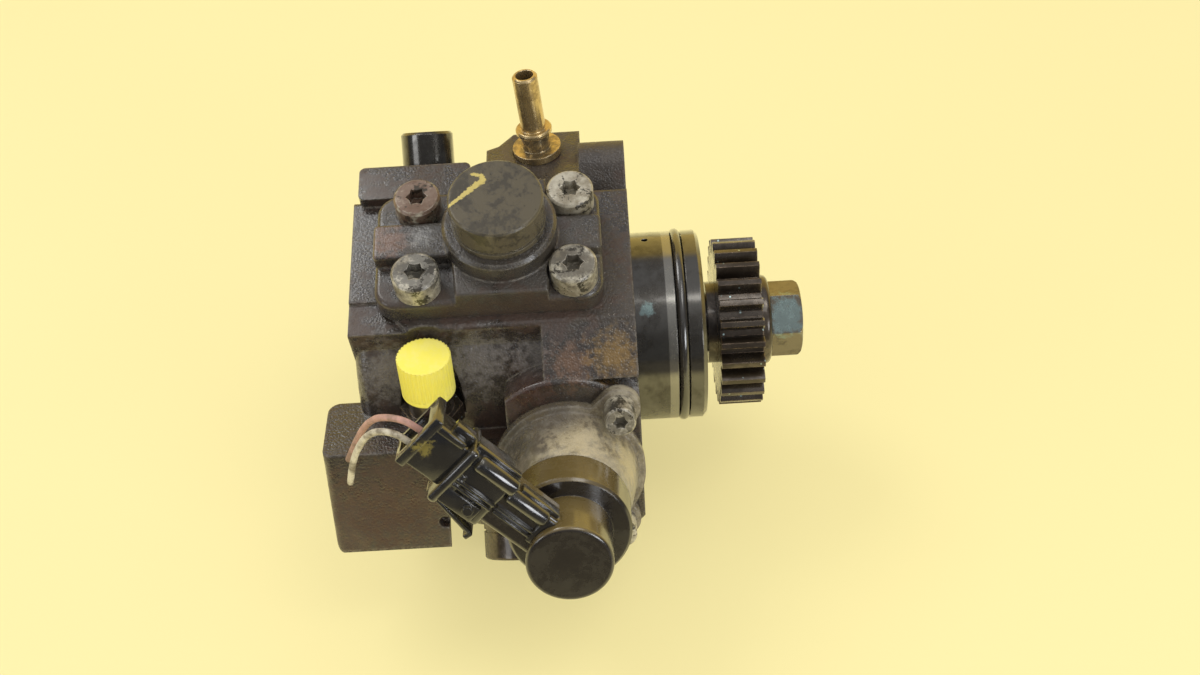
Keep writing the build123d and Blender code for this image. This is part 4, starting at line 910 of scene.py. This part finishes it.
compression_spring("spool_spring", "metering_spring", VALVE, 86.0, 90.5, 2.6, 0.4)
OVERFLOW = Matrix.Rotation(OVERFLOW_LEAN, 4, "X") @ Matrix.Translation(OVERFLOW_PLACE)
compression_spring("relief_spring", "overflow_spring", OVERFLOW, 41.2, 50.0, 3.6, 0.6)


# Floor and light

FLOOR_Z = cad_box[0][2] - 0.0004
FLOOR_SIZE = 6.0
FLOOR_GLOW = 0.5


def floor_sheet():
    """Plain pale yellow table, dimmed in front where only glossy surfaces see it."""
    bpy.ops.mesh.primitive_plane_add(size=FLOOR_SIZE, location=(0, 0, FLOOR_Z))
    floor = bpy.context.active_object
    floor.name = "floor"
    material, tree, shader = new_material("floor_paint")
    place = add(tree, "ShaderNodeTexCoord").outputs["Object"]
    tone = mix_color(tree, noise(tree, place, 3.0, 2.0), rgb(0.93, 0.82, 0.4), rgb(0.96, 0.88, 0.47))
    far_front = remap(tree, add(tree, "ShaderNodeSeparateXYZ", {0: place}).outputs["Y"], -0.16, -0.28)
    mirrored = add(tree, "ShaderNodeLightPath").outputs["Is Glossy Ray"]
    shade = math_node(tree, "MULTIPLY", far_front, mirrored)
    tone = mix_color(tree, shade, tone, rgb(0.14, 0.12, 0.08))
    tree.links.new(tone, shader.inputs["Base Color"])
    shader.inputs["Roughness"].default_value = 0.55
    glow = add(tree, "ShaderNodeEmission", {0: rgb(0.99, 0.87, 0.41), 1: 1.0}).outputs[0]
    seen = math_node(tree, "MULTIPLY", add(tree, "ShaderNodeLightPath").outputs["Is Camera Ray"], FLOOR_GLOW)
    surface = add(tree, "ShaderNodeMixShader", {0: seen, 1: shader.outputs[0], 2: glow}).outputs[0]
    tree.links.new(surface, tree.nodes["Material Output"].inputs["Surface"])
    floor.data.materials.append(material)


floor_sheet()


def room():
    """Even warm light all round; glossy surfaces see a yellow table edge under a dim ceiling."""
    world = bpy.data.worlds.new("room")
    scene.world = world
    world.use_nodes = True
    tree = world.node_tree
    sky = tree.nodes["Background"]
    seen = add(tree, "ShaderNodeSeparateXYZ", {0: add(tree, "ShaderNodeTexCoord").outputs["Generated"]}).outputs
    behind = math_node(tree, "ADD", seen["Y"], math_node(tree, "MULTIPLY", seen["Z"], -0.9))
    overhead = mix_color(tree, remap(tree, seen["Z"], 0.35, 0.95), rgb(0.1, 0.1, 0.105), rgb(0.42, 0.42, 0.43))
    mirrored = mix_color(tree, remap(tree, behind, 0.2, -0.1), rgb(1.0, 0.72, 0.2), overhead)
    glossy = add(tree, "ShaderNodeLightPath").outputs["Is Glossy Ray"]
    color = mix_color(tree, glossy, rgb(0.8, 0.76, 0.66), mirrored)
    tree.links.new(color, sky.inputs["Color"])
    sky.inputs["Strength"].default_value = 1.0


room()


def area_light(name, place, aim, size, power, tint):
    """A soft lamp that faces a place and stays out of the camera's sight."""
    data = bpy.data.lights.new(name, "AREA")
    data.shape = "RECTANGLE"
    data.size = size[0]
    data.size_y = size[1]
    data.energy = power
    data.color = tint
    lamp = bpy.data.objects.new(name, data)
    lamp.visible_camera = False
    lamp.location = place
    lamp.rotation_euler = (Vector(aim) - Vector(place)).to_track_quat("-Z", "Y").to_euler()
    scene.collection.objects.link(lamp)


area_light("window", (-0.5, 0.35, 0.9), (-0.02, 0, 0), (0.45, 0.45), 2.6, (1.0, 0.99, 0.97))
area_light("ceiling", (0.35, -0.25, 1.1), (0, 0, 0), (0.6, 0.4), 2.0, (1.0, 0.98, 0.94))
area_light("front", (0.55, -0.74, 0.3), (-0.04, -0.03, 0), (0.44, 0.28), 2.6, (0.95, 0.97, 1.0))
area_light("side", (-0.9, -0.55, 0.45), (0, 0, 0), (0.4, 0.35), 1.3, (0.96, 0.98, 1.0))

scene.view_settings.view_transform = "Standard"
